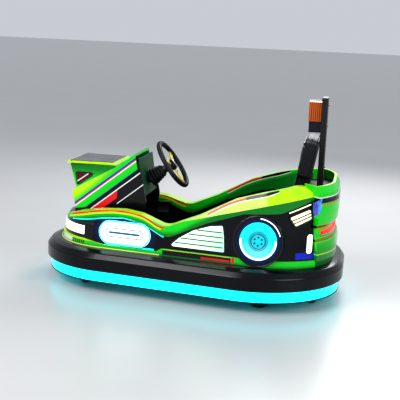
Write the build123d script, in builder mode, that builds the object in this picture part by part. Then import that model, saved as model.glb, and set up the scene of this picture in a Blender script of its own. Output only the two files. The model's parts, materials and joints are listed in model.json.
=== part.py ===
from build123d import *
from math import acos, atan, atan2, cos, degrees, radians, sin, sqrt, tan
import os

# An electric indoor bumper kart styled as a racing car. Millimetres; +X is forward, +Y is left,
# +Z is up. The origin is on the floor, under the middle of the bumper ring.

os.makedirs("parts", exist_ok=True)

# Plan of the kart: one nose circle and two tail circles, joined by tangent sides
LENGTH = 1700
WIDTH = 1180
NOSE_R = 460
TAIL_R = 480

# Stations along X are laid out for this length and move in step with LENGTH
LAYOUT_LENGTH = 1700


def station(x):
    """Where a station of the layout lies on a kart of this length."""
    return x * LENGTH / LAYOUT_LENGTH


def stations(points):
    """Side-view points of the layout, at their stations on a kart of this length."""
    return [(station(x), z) for x, z in points]


# Running gear
TYRE_D = 130
TYRE_W = 45
HUB_D = 86
DRIVE_TYRE_D = 200
DRIVE_TYRE_W = 56
DRIVE_HUB_D = 136
AXLE_D = 20
WHEEL_X = station(-430)
WHEEL_Y = WIDTH / 2 - 170
DRIVE_X = station(560)
CASTER_D = 70
CASTER_W = 24
CASTER_TRAIL = 22
CASTER_FRONT_X = station(590)
CASTER_REAR_X = station(-670)
RUN_FIT = 0.05
WHEEL_GAP = 6

# Chassis
RAIL_Y = 250
RAIL_W = 50
RAIL_H = 25
FRAME_Z = 140
HOOP_T = 25
HOOP_TOP = 228
PAN_T = 3
TIE_HOLE_R = 5.5
TIE_FRONT_X = station(300)
TIE_REAR_X = station(-180)

# Bumper ring and glow skirt
RING_T = 100
RING_BOTTOM = 120
RING_SIDE_TOP = 190
RING_TOP = HOOP_TOP
RING_SHOULDER = [(22, RING_TOP - 10), (58, RING_TOP)]
SKIRT_BOTTOM = 60
SKIRT_INSET = 18
SKIRT_T = 12

# Body walls: they lean inwards as they rise, and reach out over the ring at the nose and the tail
BAND_T = 10
WALL_FOOT_INSET = 118
LEAN = 0.12
NOSE_REACH = 25
TAIL_REACH = 75
INSERT_T = 24
COAMING_PROUD = 12
COAMING_W = 75
COAMING_TIP_Y = 186
NOSE_BAND_TOP = 268
NOSE_WALL_X = station(510)
REAR_PANEL_ANGLE = 135
REAR_PANEL_T = 14

# Deck, cowl and display box
DECK_Z = 345
DECK_T = 10
DECK_REAR_X = station(200)
FOOTWELL_HALF = 150
COWL_W = 340
COWL_T = 8
BOX_TOP = 670
BOX_W = 330
DISPLAY_W = 220
DISPLAY_H = 112

# Steering
STEER_ANGLE = 35
STEER_WHEEL_X = station(145)
STEER_WHEEL_Z = 665
STEER_R = 136
RIM_R = 13
SHAFT_R = 9
COLUMN_R = 22
COLUMN_L = 400

# Seat
PLINTH_TOP = 300
PLINTH_FRONT_X = station(-120)
PLINTH_REAR_X = station(-560)
SEAT_HALF = WIDTH / 2 - 260
SHELL_T = 10
CUSHION_H = 85
SOFT_GAP = 0.3
BACK_TOP = 860
POST_X = station(-690)
POST_T = 30
POST_W = 150
POST_TOP = 1090

# Lamps
LAMP_T = 18
LAMP_FIT = 0.5
DISC_X = station(-412)
DISC_Z = 360
DISC_R = 99
ARCH_R = 134

NOSE_X = LENGTH / 2 - NOSE_R
TAIL_X = -LENGTH / 2 + TAIL_R
TAIL_Y = WIDTH / 2 - TAIL_R
BODY_NOSE_X = NOSE_X + NOSE_REACH
BODY_TAIL_X = TAIL_X - TAIL_REACH
FAR = 2 * LENGTH
PAN_Z = FRAME_Z + RAIL_H
WALL_FOOT = HOOP_TOP
BRIDGE_Z = 240
BRIDGE_T = 25

# Sections stand on these planes at the front point of the ring and of the body: x is the inset from
# the plan, y the height
FRONT = Plane(origin=(LENGTH / 2, 0, 0), x_dir=(-1, 0, 0), z_dir=(0, 1, 0))
BODY_FRONT = Plane(origin=(BODY_NOSE_X + NOSE_R, 0, 0), x_dir=(-1, 0, 0), z_dir=(0, 1, 0))
RING_ENDS = (NOSE_X, TAIL_X)
BODY_ENDS = (BODY_NOSE_X, BODY_TAIL_X)


def side_angle(ends):
    """Direction of the straight side's normal, from +X, for circles centred at these two stations."""
    span = sqrt((ends[0] - ends[1]) ** 2 + TAIL_Y ** 2)
    return degrees(acos((TAIL_R - NOSE_R) / span)) - degrees(atan2(TAIL_Y, ends[0] - ends[1]))


def half_outline(inset=0.0, ends=RING_ENDS):
    """Left half of a plan outline, from its front point to its rear point."""
    nose = NOSE_R - inset
    tail = TAIL_R - inset
    turn = side_angle(ends)
    with BuildLine() as line:
        CenterArc((ends[0], 0), nose, 0, turn)
        Line(line.line @ 1, (ends[1] + tail * cos(radians(turn)), TAIL_Y + tail * sin(radians(turn))))
        CenterArc((ends[1], TAIL_Y), tail, turn, 180 - turn)
        Line((ends[1] - tail, TAIL_Y), (ends[1] - tail, 0))
    return line.line


HALF_PATH = half_outline()
BODY_PATH = half_outline(ends=BODY_ENDS)


def plan(inset, z, ends=RING_ENDS):
    """The plan as a face at height z, drawn in by inset."""
    half = half_outline(inset, ends)
    with BuildSketch(Plane.XY.offset(z)) as face:
        with BuildLine():
            add(half)
            mirror(half, about=Plane.XZ)
        make_face()
    return face.sketch


def section(points, plane=FRONT):
    """A closed wall section from (inset, height) points."""
    with BuildSketch(plane) as face:
        with BuildLine():
            Polyline(*points, close=True)
        make_face()
    return face.sketch


def profile(points, radius=0.0, grow=0.0):
    """A closed side-view shape from (x, z) points, its corners rounded and its edge moved out by grow."""
    with BuildSketch(Plane.XZ) as face:
        with BuildLine():
            Polyline(*points, close=True)
        make_face()
        if radius:
            fillet(face.vertices(), radius)
        if grow:
            offset(amount=grow)
    return face.sketch


def slot(x, z, length, height, grow=0.0):
    """A side-view slot with round ends, lying along X or, if it is taller than long, upright."""
    with BuildSketch(Plane.XZ) as face:
        with Locations((x, z)):
            if length > height:
                SlotOverall(length + 2 * grow, height + 2 * grow)
            else:
                SlotOverall(height + 2 * grow, length + 2 * grow, rotation=90)
    return face.sketch


def wall_inset(z):
    """Inset of the leaning body wall's face at height z."""
    return WALL_FOOT_INSET + (z - WALL_FOOT) * LEAN


def wall_section(low, high, proud, thickness):
    """Section of the leaning wall from low to high, its face standing proud of the wall line."""
    outer_low = wall_inset(low) - proud
    outer_high = wall_inset(high) - proud
    return section([(outer_low, low), (outer_high, high), (outer_high + thickness, high),
                    (outer_low + thickness, low)], BODY_FRONT)


def wall_plane(x, z, proud=0.0):
    """Plane on the left wall at station x and height z: x runs rearwards, y up the wall, z outwards."""
    inset = wall_inset(z) - proud
    nose = NOSE_R - inset
    tail = TAIL_R - inset
    edge = radians(side_angle(BODY_ENDS))
    if x > BODY_NOSE_X + nose * cos(edge):
        turn = acos((x - BODY_NOSE_X) / nose)
        y = nose * sin(turn)
    elif x < BODY_TAIL_X + tail * cos(edge):
        turn = acos(max(-1.0, (x - BODY_TAIL_X) / tail))
        y = TAIL_Y + tail * sin(turn)
    else:
        turn = edge
        y = nose * sin(edge) + (BODY_NOSE_X + nose * cos(edge) - x) / tan(edge)
    rise = atan(LEAN)
    outward = Vector(cos(turn) * cos(rise), sin(turn) * cos(rise), sin(rise))
    rearward = Vector(-sin(turn), cos(turn), 0)
    return Plane(origin=(x, y, z), x_dir=rearward, z_dir=outward)


# The wedge round the tail that the left walls leave for the rear panel
WEDGE_DIRECTION = (cos(radians(REAR_PANEL_ANGLE)), sin(radians(REAR_PANEL_ANGLE)))
with BuildPart() as rear_wedge:
    with BuildSketch():
        with BuildLine():
            Polyline((BODY_TAIL_X, 0), (BODY_TAIL_X, TAIL_Y),
                     (BODY_TAIL_X + FAR * WEDGE_DIRECTION[0], TAIL_Y + FAR * WEDGE_DIRECTION[1]),
                     (BODY_TAIL_X - FAR, 0), close=True)
        make_face()
    extrude(amount=FAR)


def wall_piece(shape, proud, thickness):
    """The part of the left body wall inside a side-view shape, from proud of its face inwards."""
    box = shape.bounding_box()
    with BuildPart() as piece:
        sweep(wall_section(box.min.Z, box.max.Z, proud, thickness), path=BODY_PATH)
        extrude(shape, amount=-FAR, mode=Mode.INTERSECT)
        add(rear_wedge.part, mode=Mode.SUBTRACT)
    return piece.part


def save(piece, name):
    piece.label = name
    export_step(piece, f"parts/{name}.step")


def save_pair(piece, name):
    """Write the left piece and its mirror image."""
    save(piece, f"{name}_left")
    save(mirror(piece, about=Plane.XZ), f"{name}_right")


# Side lines of the body, front to rear: x, height
BAND_TOP = stations([(900, NOSE_BAND_TOP), (566, 266), (444, 248), (140, 246), (112, 264), (-900, 264)])
COAMING_BOTTOM = stations([(700, 352), (560, 374), (450, 395), (330, 406), (222, 386), (90, 320),
                           (-130, 424), (-330, 494), (-520, 510), (-690, 582), (-900, 586)])
COAMING_TOP = stations([(700, 376), (600, 404), (480, 432), (340, 443), (235, 430), (92, 380),
                        (-80, 454), (-275, 559), (-425, 606), (-605, 651), (-690, 606), (-900, 600)])
BAND_LINE_R = 16
COAMING_LINE_R = 90


def under_line(points, floor, radius):
    """Side-view face from a body line down to a level floor."""
    with BuildSketch(Plane.XZ) as face:
        with BuildLine():
            line = FilletPolyline(*points, radius=radius)
            Polyline(line @ 1, (points[-1][0], floor), (points[0][0], floor), line @ 0)
        make_face()
    return face.sketch


def between_lines(low_points, high_points, radius):
    """Side-view face between two body lines."""
    with BuildSketch(Plane.XZ) as face:
        with BuildLine():
            low = FilletPolyline(*low_points, radius=radius)
            high = FilletPolyline(*high_points, radius=radius)
            Line(low @ 0, high @ 0)
            Line(low @ 1, high @ 1)
        make_face()
    return face.sketch


# Chassis: rails, cross members and the hoop that carries the bumper ring, with the drive bridge,
# the wheel brackets and the caster housings. The left half is made and mirrored.
CROSS_X = (station(300), station(-60), WHEEL_X, station(-610))
CROSS_W = 40
BRIDGE_POST_W = 40
BRIDGE_L = 120
BRIDGE_W = 340
STEM_R = 25
BRACKET_T = 8
BRACKET_W = 60
AXLE_HEAD_T = 4
CASTER_STEM_R = 8
CASTER_HOUSING_R = 22
CASTER_HOUSING_BOTTOM = 100
AXLE_Z = TYRE_D / 2
BRACKET_OUT_Y = WHEEL_Y - TYRE_W / 2 - WHEEL_GAP
AXLE_END_Y = WHEEL_Y + TYRE_W / 2 + AXLE_HEAD_T + 1
CASTER_XS = (("front", CASTER_FRONT_X), ("rear", CASTER_REAR_X))

with BuildPart() as chassis_frame:
    with BuildSketch(Plane.XY.offset(FRAME_Z)):
        with Locations((0, RAIL_Y)):
            Rectangle(LENGTH, RAIL_W)
        for cross_x in CROSS_X:
            with Locations((cross_x, WIDTH / 4)):
                Rectangle(CROSS_W, WIDTH / 2)
    extrude(amount=RAIL_H)
    extrude(plan(RING_T + HOOP_T / 2, FRAME_Z), amount=RAIL_H, mode=Mode.INTERSECT)
    sweep(section([(RING_T, FRAME_Z), (RING_T + HOOP_T, FRAME_Z), (RING_T + HOOP_T, HOOP_TOP),
                   (RING_T, HOOP_TOP)]), path=HALF_PATH)
    # Bridge over the drive unit: its post stands on a shelf between the rail and the post
    with BuildSketch(Plane.XY.offset(BRIDGE_Z)):
        with Locations((DRIVE_X, BRIDGE_W / 4)):
            Rectangle(BRIDGE_L, BRIDGE_W / 2)
        with Locations((DRIVE_X, 0)):
            Circle(STEM_R + RUN_FIT, mode=Mode.SUBTRACT)
    extrude(amount=BRIDGE_T)
    with BuildSketch(Plane.XY.offset(FRAME_Z)):
        with Locations((DRIVE_X, BRIDGE_W / 2 - BRIDGE_POST_W / 2)):
            Rectangle(BRIDGE_L, BRIDGE_POST_W)
    extrude(amount=BRIDGE_Z - FRAME_Z)
    with BuildSketch(Plane.XY.offset(FRAME_Z)):
        with Locations((DRIVE_X, (BRIDGE_W / 2 + RAIL_Y) / 2)):
            Rectangle(BRIDGE_L, RAIL_Y - BRIDGE_W / 2)
    extrude(amount=RAIL_H)
    # Wheel bracket and stub axle
    with BuildSketch(Plane.XZ.offset(-BRACKET_OUT_Y)):
        with BuildLine():
            Polyline((WHEEL_X - BRACKET_W / 2, FRAME_Z), (WHEEL_X + BRACKET_W / 2, FRAME_Z),
                     (WHEEL_X + AXLE_D, AXLE_Z - AXLE_D), (WHEEL_X - AXLE_D, AXLE_Z - AXLE_D), close=True)
        make_face()
    extrude(amount=BRACKET_T)
    with BuildSketch(Plane.XZ.offset(-AXLE_END_Y)):
        with Locations((WHEEL_X, AXLE_Z)):
            Circle(AXLE_D / 2)
    extrude(amount=AXLE_END_Y - BRACKET_OUT_Y)
    with BuildSketch(Plane.XZ.offset(-AXLE_END_Y)):
        with Locations((WHEEL_X, AXLE_Z)):
            Circle(AXLE_D * 0.75)
    extrude(amount=AXLE_HEAD_T)
    # Swivel housings of the casters
    for _, caster_x in CASTER_XS:
        with BuildSketch(Plane.XY.offset(CASTER_HOUSING_BOTTOM)):
            with Locations((caster_x, RAIL_Y)):
                Circle(CASTER_HOUSING_R)
                Circle(CASTER_STEM_R + RUN_FIT, mode=Mode.SUBTRACT)
        extrude(amount=FRAME_Z - CASTER_HOUSING_BOTTOM)
    # Tie-down holes up through the rail
    with BuildSketch(Plane.XY.offset(FRAME_Z)):
        with Locations((TIE_FRONT_X, RAIL_Y), (TIE_REAR_X, RAIL_Y)):
            Circle(TIE_HOLE_R)
    extrude(amount=RAIL_H, mode=Mode.SUBTRACT)
    mirror(about=Plane.XZ)
save(chassis_frame.part, "chassis_frame")

# Floor pan, open over the drive unit
DRIVE_OPENING_L = 222
with BuildPart() as floor_pan:
    extrude(plan(RING_T + HOOP_T, PAN_Z), amount=PAN_T)
    with BuildSketch(Plane.XY.offset(PAN_Z)):
        with Locations((DRIVE_X, 0)):
            Rectangle(DRIVE_OPENING_L, BRIDGE_W)
    extrude(amount=PAN_T, mode=Mode.SUBTRACT)
save(floor_pan.part, "floor_pan")

# Rubber bumper ring around the hoop
RING_EDGE_R = 14
with BuildPart() as bumper_ring:
    with BuildSketch(FRONT) as ring_face:
        with BuildLine():
            Polyline((0, RING_BOTTOM), (0, RING_SIDE_TOP), *RING_SHOULDER, (RING_T, RING_TOP),
                     (RING_T, RING_BOTTOM), close=True)
        make_face()
        fillet(ring_face.vertices().sort_by(Axis.X)[:3], RING_EDGE_R)
    sweep(path=HALF_PATH)
    mirror(about=Plane.XZ)
save(bumper_ring.part, "bumper_ring")

# Translucent glow skirt under the ring
with BuildPart() as glow_skirt:
    sweep(section([(SKIRT_INSET + 6, SKIRT_BOTTOM), (SKIRT_INSET, RING_BOTTOM),
                   (SKIRT_INSET + SKIRT_T, RING_BOTTOM), (SKIRT_INSET + 6 + SKIRT_T, SKIRT_BOTTOM)]), path=HALF_PATH)
    mirror(about=Plane.XZ)
save(glow_skirt.part, "glow_skirt")

# Fake wheel lamps: a boss on each side wall with a disc lamp in it
DISC_PLANE = wall_plane(DISC_X, DISC_Z)
ARCH_PROUD = 13
ARCH_DEPTH = 30
DISC_SEAT = -12
DISC_HUB_R = 36
with BuildPart() as arch_boss:
    with BuildSketch(DISC_PLANE.offset(-ARCH_DEPTH)):
        Circle(ARCH_R)
    extrude(amount=ARCH_DEPTH + ARCH_PROUD)
    split(bisect_by=Plane.XY.offset(WALL_FOOT), keep=Keep.TOP)
with BuildPart() as disc_pocket:
    with BuildSketch(DISC_PLANE.offset(DISC_SEAT)):
        Circle(DISC_R + LAMP_FIT)
    extrude(amount=ARCH_PROUD - DISC_SEAT)
with BuildPart() as wheel_lamps:
    with BuildSketch(DISC_PLANE.offset(DISC_SEAT)):
        Circle(DISC_R)
    extrude(amount=ARCH_PROUD - DISC_SEAT - 2)
    with BuildSketch(DISC_PLANE.offset(ARCH_PROUD - 8)):
        Circle(DISC_HUB_R)
    extrude(amount=10, mode=Mode.SUBTRACT)
    mirror(about=Plane.XZ)
save(wheel_lamps.part, "wheel_lamps")

# Lamps let into the side walls, as side-view shapes
LAMP_PROUD = 3
STADIUM = dict(x=station(327), z=318, length=298, height=128)
GRILLE = stations([(66, 284), (16, 330), (-60, 378), (-150, 409), (-216, 418), (-226, 360), (-232, 283)])
SLATS = stations([(-566, 490), (-664, 530), (-672, 482), (-596, 446)])
MARKER = dict(x=station(-671), z=350, length=26, height=98)
GRILLE_R = 7


def lamp_shapes(grow):
    """The side-view shapes of one side's lamps, moved out by grow, keyed by node name."""
    return {
        "stadium_lamps": slot(**STADIUM, grow=grow),
        "grille_lamps": profile(GRILLE, GRILLE_R, grow),
        "slat_lamps": profile(SLATS, GRILLE_R, grow),
        "marker_lamps": slot(**MARKER, grow=grow),
    }


for lamp_name, lamp_shape in lamp_shapes(0).items():
    lamp = wall_piece(lamp_shape, LAMP_PROUD, LAMP_PROUD + LAMP_T)
    with BuildPart() as lamp_pair:
        add(lamp)
        mirror(about=Plane.XZ)
    save(lamp_pair.part, lamp_name)
lamp_pockets = [wall_piece(shape, LAMP_PROUD, LAMP_PROUD + LAMP_T) for shape in lamp_shapes(LAMP_FIT).values()]

# Black side inserts between the body band and the coaming
with BuildPart() as side_insert:
    sweep(wall_section(WALL_FOOT, BACK_TOP, 0, INSERT_T), path=BODY_PATH)
    extrude(under_line(COAMING_BOTTOM, WALL_FOOT, COAMING_LINE_R), amount=-FAR, mode=Mode.INTERSECT)
    split(bisect_by=Plane.YZ.offset(NOSE_WALL_X), keep=Keep.BOTTOM)
    add(rear_wedge.part, mode=Mode.SUBTRACT)
    add(arch_boss.part)
    add(disc_pocket.part, mode=Mode.SUBTRACT)
    for pocket in lamp_pockets:
        add(pocket, mode=Mode.SUBTRACT)
save_pair(side_insert.part, "side_insert")

# Green body band, standing on the bumper ring
with BuildPart() as body_band:
    sweep(wall_section(WALL_FOOT, NOSE_BAND_TOP + BAND_T, BAND_T, BAND_T), path=BODY_PATH)
    extrude(under_line(BAND_TOP, WALL_FOOT, BAND_LINE_R), amount=-FAR, mode=Mode.INTERSECT)
    add(rear_wedge.part, mode=Mode.SUBTRACT)
    add(arch_boss.part, mode=Mode.SUBTRACT)
    mirror(about=Plane.XZ)
save(body_band.part, "body_band")

# Green coamings along the top of the side walls. Above a ridge that rises to the rear, their outer
# face slants inwards.
RIDGE_X = station(-400)
RIDGE_Z = 532
RIDGE_TILT = 12
SLANT = 0.6
SLANT_REACH = 130
RIDGE_INSET = wall_inset(RIDGE_Z) - COAMING_PROUD
with BuildPart() as slant_wedge:
    sweep(section([(RIDGE_INSET - SLANT * SLANT_REACH, RIDGE_Z - SLANT_REACH),
                   (RIDGE_INSET + SLANT * SLANT_REACH, RIDGE_Z + SLANT_REACH),
                   (RIDGE_INSET - SLANT * SLANT_REACH, RIDGE_Z + SLANT_REACH)], BODY_FRONT), path=BODY_PATH)
    split(bisect_by=Plane.YZ, keep=Keep.BOTTOM)
slant_cut = Pos(RIDGE_X, 0, RIDGE_Z) * Rot(0, RIDGE_TILT, 0) * Pos(-RIDGE_X, 0, -RIDGE_Z) * slant_wedge.part
COAMING_LOW = min(z for _, z in COAMING_BOTTOM)
with BuildPart() as side_coaming:
    sweep(wall_section(COAMING_LOW, BACK_TOP, COAMING_PROUD, COAMING_W), path=BODY_PATH)
    extrude(between_lines(COAMING_BOTTOM, COAMING_TOP, COAMING_LINE_R), amount=-FAR, mode=Mode.INTERSECT)
    add(rear_wedge.part, mode=Mode.SUBTRACT)
    with BuildSketch(Plane.YZ):
        Rectangle(2 * COAMING_TIP_Y, 4 * POST_TOP)
    extrude(amount=FAR, mode=Mode.SUBTRACT)
    add(slant_cut, mode=Mode.SUBTRACT)
save_pair(side_coaming.part, "side_coaming")

# Nose: light bars in a black wall, and the black deck with its stepped rim around the cowl
BAR_LOW = 286
BAR_HIGH = 332
BAR_CENTRE_HALF = 105
BAR_GAP = 30
BAR_CORNER_X = (station(568), station(716))
CHIN_X = station(660)
SHOULDER_TOP = 404
SHOULDER_T = 10
SHOULDER_END = 270
SHOULDER = [(150, 374), (185, 396), (230, SHOULDER_TOP), (SHOULDER_END, SHOULDER_TOP)]
SHOULDER_INSIDE = [(SHOULDER_END - SHOULDER_T, SHOULDER_TOP - SHOULDER_T), (232, SHOULDER_TOP - SHOULDER_T),
                   (190, 386), (160, 367)]


def light_bars(grow):
    """The left half of the nose light bars: half of the centre bar and the corner bar."""
    with BuildPart() as bars:
        sweep(wall_section(BAR_LOW - grow, BAR_HIGH + grow, LAMP_PROUD, LAMP_PROUD + LAMP_T), path=BODY_PATH)
        with BuildSketch():
            with Locations((BODY_NOSE_X, 0)):
                Rectangle(LENGTH, BAR_CENTRE_HALF + grow, align=(Align.MIN, Align.MIN))
            with Locations((BAR_CORNER_X[0] - grow, BAR_CENTRE_HALF + BAR_GAP - grow)):
                Rectangle(BAR_CORNER_X[1] - BAR_CORNER_X[0] + 2 * grow, WIDTH, align=(Align.MIN, Align.MIN))
        extrude(amount=FAR, mode=Mode.INTERSECT)
    return bars.part


nose_bars = light_bars(0)
nose_pockets = light_bars(LAMP_FIT)
with BuildPart() as nose_light_bars:
    add(nose_bars)
    mirror(about=Plane.XZ)
save(nose_light_bars.part, "nose_light_bars")

with BuildPart() as side_wall_room:
    sweep(wall_section(WALL_FOOT, BACK_TOP, COAMING_PROUD, COAMING_PROUD + INSERT_T), path=BODY_PATH)
    split(bisect_by=Plane.YZ.offset(NOSE_WALL_X), keep=Keep.BOTTOM)
with BuildPart() as nose_deck:
    sweep(wall_section(WALL_FOOT, DECK_Z, 0, INSERT_T), path=BODY_PATH)
    split(bisect_by=Plane.YZ.offset(NOSE_WALL_X), keep=Keep.TOP)
    extrude(plan(wall_inset(DECK_Z) + INSERT_T / 2, DECK_Z, BODY_ENDS), amount=DECK_T)
    sweep(section([(wall_inset(DECK_Z), DECK_Z), *SHOULDER, (SHOULDER_END, DECK_Z),
                   (SHOULDER_END - SHOULDER_T, DECK_Z), *SHOULDER_INSIDE, (wall_inset(DECK_Z) + SHOULDER_T, DECK_Z)],
                  BODY_FRONT), path=BODY_PATH)
    split(bisect_by=Plane.YZ.offset(DECK_REAR_X), keep=Keep.TOP)
    split(bisect_by=Plane.XZ, keep=Keep.BOTTOM)
    # Footwell, and the seat of the cowl base
    with BuildSketch(Plane.XY.offset(DECK_Z)):
        with Locations(((DECK_REAR_X + DRIVE_X) / 2, 0)):
            Rectangle(DRIVE_X + 60 - DECK_REAR_X, 2 * FOOTWELL_HALF)
    extrude(amount=DECK_T, mode=Mode.SUBTRACT)
    with BuildSketch(Plane.XY.offset(DECK_Z + DECK_T)):
        with Locations(((DECK_REAR_X + CHIN_X) / 2, 0)):
            Rectangle(CHIN_X - DECK_REAR_X, COWL_W + 2 * COWL_T)
    extrude(amount=2 * (SHOULDER_TOP - DECK_Z), mode=Mode.SUBTRACT)
    add(nose_pockets, mode=Mode.SUBTRACT)
    add(side_coaming.part, mode=Mode.SUBTRACT)
    add(side_wall_room.part, mode=Mode.SUBTRACT)
    mirror(about=Plane.XZ)
save(nose_deck.part, "nose_deck")

# Rear panel: two stacked lobes round the tail, with cheeks that close its ends against the walls
PANEL_TOP = 652
PANEL_FOOT_INSET = 60
WAIST_INSET = 76
LOBE_INSET = 46
PANEL_FACE = [(PANEL_FOOT_INSET, RING_TOP), (LOBE_INSET + 2, 262), (LOBE_INSET, 312), (LOBE_INSET + 6, 352),
              (WAIST_INSET, 384), (WAIST_INSET, 422), (LOBE_INSET + 4, 458), (LOBE_INSET, 508),
              (LOBE_INSET + 1, 562), (LOBE_INSET + 8, 618), (LOBE_INSET + 26, PANEL_TOP)]
PANEL_LINE_R = 24
CHEEK_T = 12
CHEEK_INSET = 150
TAIL_LAMP_Z = (394, 412)
TAIL_LAMP_T = 14
TAIL_LAMP_ANGLE = 150


def panel_section(back_shift):
    """Section of the rear panel: its face, and its back moved inwards by back_shift."""
    with BuildSketch(FRONT) as face:
        with BuildLine():
            front = FilletPolyline(*PANEL_FACE, radius=PANEL_LINE_R)
            back = FilletPolyline(*[(inset + back_shift, z) for inset, z in PANEL_FACE], radius=PANEL_LINE_R)
            Line(front @ 0, back @ 0)
            Line(front @ 1, back @ 1)
        make_face()
    return face.sketch


with BuildPart() as panel_cheek:
    sweep(panel_section(CHEEK_INSET - LOBE_INSET), path=HALF_PATH)
    with BuildSketch():
        with Locations(Location((BODY_TAIL_X, TAIL_Y, 0), (0, 0, REAR_PANEL_ANGLE))):
            Rectangle(FAR, CHEEK_T, align=(Align.MIN, Align.MIN))
    extrude(amount=FAR, mode=Mode.INTERSECT)
with BuildPart() as rear_panel:
    sweep(panel_section(REAR_PANEL_T), path=HALF_PATH)
    add(rear_wedge.part, mode=Mode.INTERSECT)
    add(panel_cheek.part)
    mirror(about=Plane.XZ)
save(rear_panel.part, "rear_panel")

# Lamp strip in the waist of the rear panel
with BuildPart() as tail_lamps:
    sweep(section([(WAIST_INSET - TAIL_LAMP_T, TAIL_LAMP_Z[0]), (WAIST_INSET - TAIL_LAMP_T, TAIL_LAMP_Z[1]),
                   (WAIST_INSET, TAIL_LAMP_Z[1]), (WAIST_INSET, TAIL_LAMP_Z[0])]), path=HALF_PATH)
    with BuildSketch():
        with BuildLine():
            Polyline((TAIL_X, 0), (TAIL_X, TAIL_Y),
                     (TAIL_X + FAR * cos(radians(TAIL_LAMP_ANGLE)), TAIL_Y + FAR * sin(radians(TAIL_LAMP_ANGLE))),
                     (TAIL_X - FAR, 0), close=True)
        make_face()
    extrude(amount=FAR, mode=Mode.INTERSECT)
    mirror(about=Plane.XZ)
save(tail_lamps.part, "tail_lamps")

# Cowl base: black cheeks that stand on the deck, under the green cowl
BASE_TOP = DECK_Z + DECK_T
COWL_EDGE = stations([(600, 412), (301, 651)])
CHIN_Z = COWL_EDGE[0][1]
CHEEK_REAR = stations([(276, 578), (252, 468), (266, BASE_TOP)])
BASE_SIDE = [(CHIN_X, BASE_TOP), (CHIN_X, CHIN_Z - 8), *COWL_EDGE, *CHEEK_REAR]
with BuildPart() as cowl_base:
    extrude(profile(BASE_SIDE), amount=COWL_W / 2 + COWL_T, both=True)
    with BuildSketch(Plane.XZ):
        with BuildLine():
            Polyline((CHIN_X - COWL_T, 0), (CHIN_X - COWL_T, FAR), (-FAR, FAR), (-FAR, 0), close=True)
        make_face()
    extrude(amount=COWL_W / 2, both=True, mode=Mode.SUBTRACT)
save(cowl_base.part, "cowl_base")

# Green cowl: a wedge that rises from the chin to a peak in front of the steering wheel
COWL_NOSE = (station(682), 498)
COWL_DECK = stations([(664, 516), (432, 652)])
COWL_PEAK = (station(328), 730)
COWL_LAP = 14
COWL_SIDE = [(CHIN_X, CHIN_Z - 4), COWL_NOSE, *COWL_DECK, COWL_PEAK,
             (COWL_EDGE[1][0] + COWL_LAP / 2, COWL_EDGE[1][1] - COWL_LAP),
             (COWL_EDGE[0][0] + COWL_LAP / 2, COWL_EDGE[0][1] - COWL_LAP)]
COWL_INSIDE = [(CHIN_X - COWL_T, CHIN_Z - 3 * COWL_LAP), (COWL_NOSE[0] - 1.4 * COWL_T, COWL_NOSE[1] + 2),
               (COWL_DECK[0][0] - 4, COWL_DECK[0][1] - 9), (COWL_DECK[1][0] - 4, COWL_DECK[1][1] - 10),
               (COWL_PEAK[0], COWL_PEAK[1] - 12), (DECK_REAR_X, COWL_PEAK[1] - 60), (DECK_REAR_X, DECK_Z)]
with BuildPart() as cowl:
    extrude(profile(COWL_SIDE), amount=COWL_W / 2, both=True)
    extrude(profile(COWL_INSIDE), amount=COWL_W / 2 - COWL_T, both=True, mode=Mode.SUBTRACT)
save(cowl.part, "cowl")

# Display box on the cowl: a flared top plate over side walls with triangular windows
BOX_FRONT_X = station(700)
BOX_FOOT_X = COWL_DECK[0][0] - 4
BOX_REAR_X = station(442)
BOX_TOP_T = 10
BOX_FLARE = 16
BOX_WINDOW = stations([(662, 606), (652, 536), (556, 606)])
DISPLAY_T = 12
DISPLAY_SET = 4
BOX_LEAN = atan2(BOX_FRONT_X - BOX_FOOT_X, BOX_TOP - COWL_DECK[0][1])
FACE_NORMAL = Vector(cos(BOX_LEAN), 0, -sin(BOX_LEAN))
FACE_MID = Vector((BOX_FRONT_X + BOX_FOOT_X) / 2, 0, (BOX_TOP - BOX_TOP_T + COWL_DECK[0][1]) / 2)
BOX_FACE = Plane(origin=FACE_MID, x_dir=(0, 1, 0), z_dir=FACE_NORMAL)
BOX_SIDE = [(BOX_FRONT_X, BOX_TOP), (BOX_FOOT_X, COWL_DECK[0][1] + 4), COWL_DECK[1], (BOX_REAR_X, BOX_TOP)]
with BuildPart() as display_box:
    extrude(profile(BOX_SIDE), amount=BOX_W / 2, both=True)
    with BuildSketch(Plane.XZ):
        with BuildLine():
            Polyline((BOX_FRONT_X - 14, BOX_TOP - BOX_TOP_T), (BOX_FOOT_X - 20, 300), (BOX_REAR_X, 300),
                     (BOX_REAR_X, BOX_TOP - BOX_TOP_T), close=True)
        make_face()
    extrude(amount=BOX_W / 2 - COWL_T, both=True, mode=Mode.SUBTRACT)
    with BuildSketch(BOX_FACE.offset(-DISPLAY_SET - DISPLAY_T - 8)):
        Rectangle(DISPLAY_W + 2 * LAMP_FIT, DISPLAY_H + 2 * LAMP_FIT)
    extrude(amount=60, mode=Mode.SUBTRACT)
    extrude(profile(BOX_WINDOW), amount=BOX_W, both=True, mode=Mode.SUBTRACT)
    with BuildSketch(Plane.XY.offset(BOX_TOP - BOX_TOP_T)):
        with BuildLine():
            Polyline((BOX_FRONT_X + 10, BOX_W / 2 + BOX_FLARE), (BOX_FRONT_X + 10, -BOX_W / 2 - BOX_FLARE),
                     (BOX_REAR_X, -BOX_W / 2), (BOX_REAR_X, BOX_W / 2), close=True)
        make_face()
    extrude(amount=BOX_TOP_T)
save(display_box.part, "display_box")

with BuildPart() as number_display:
    with BuildSketch(BOX_FACE.offset(-DISPLAY_SET - DISPLAY_T)):
        Rectangle(DISPLAY_W, DISPLAY_H)
    extrude(amount=DISPLAY_T)
save(number_display.part, "number_display")

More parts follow.
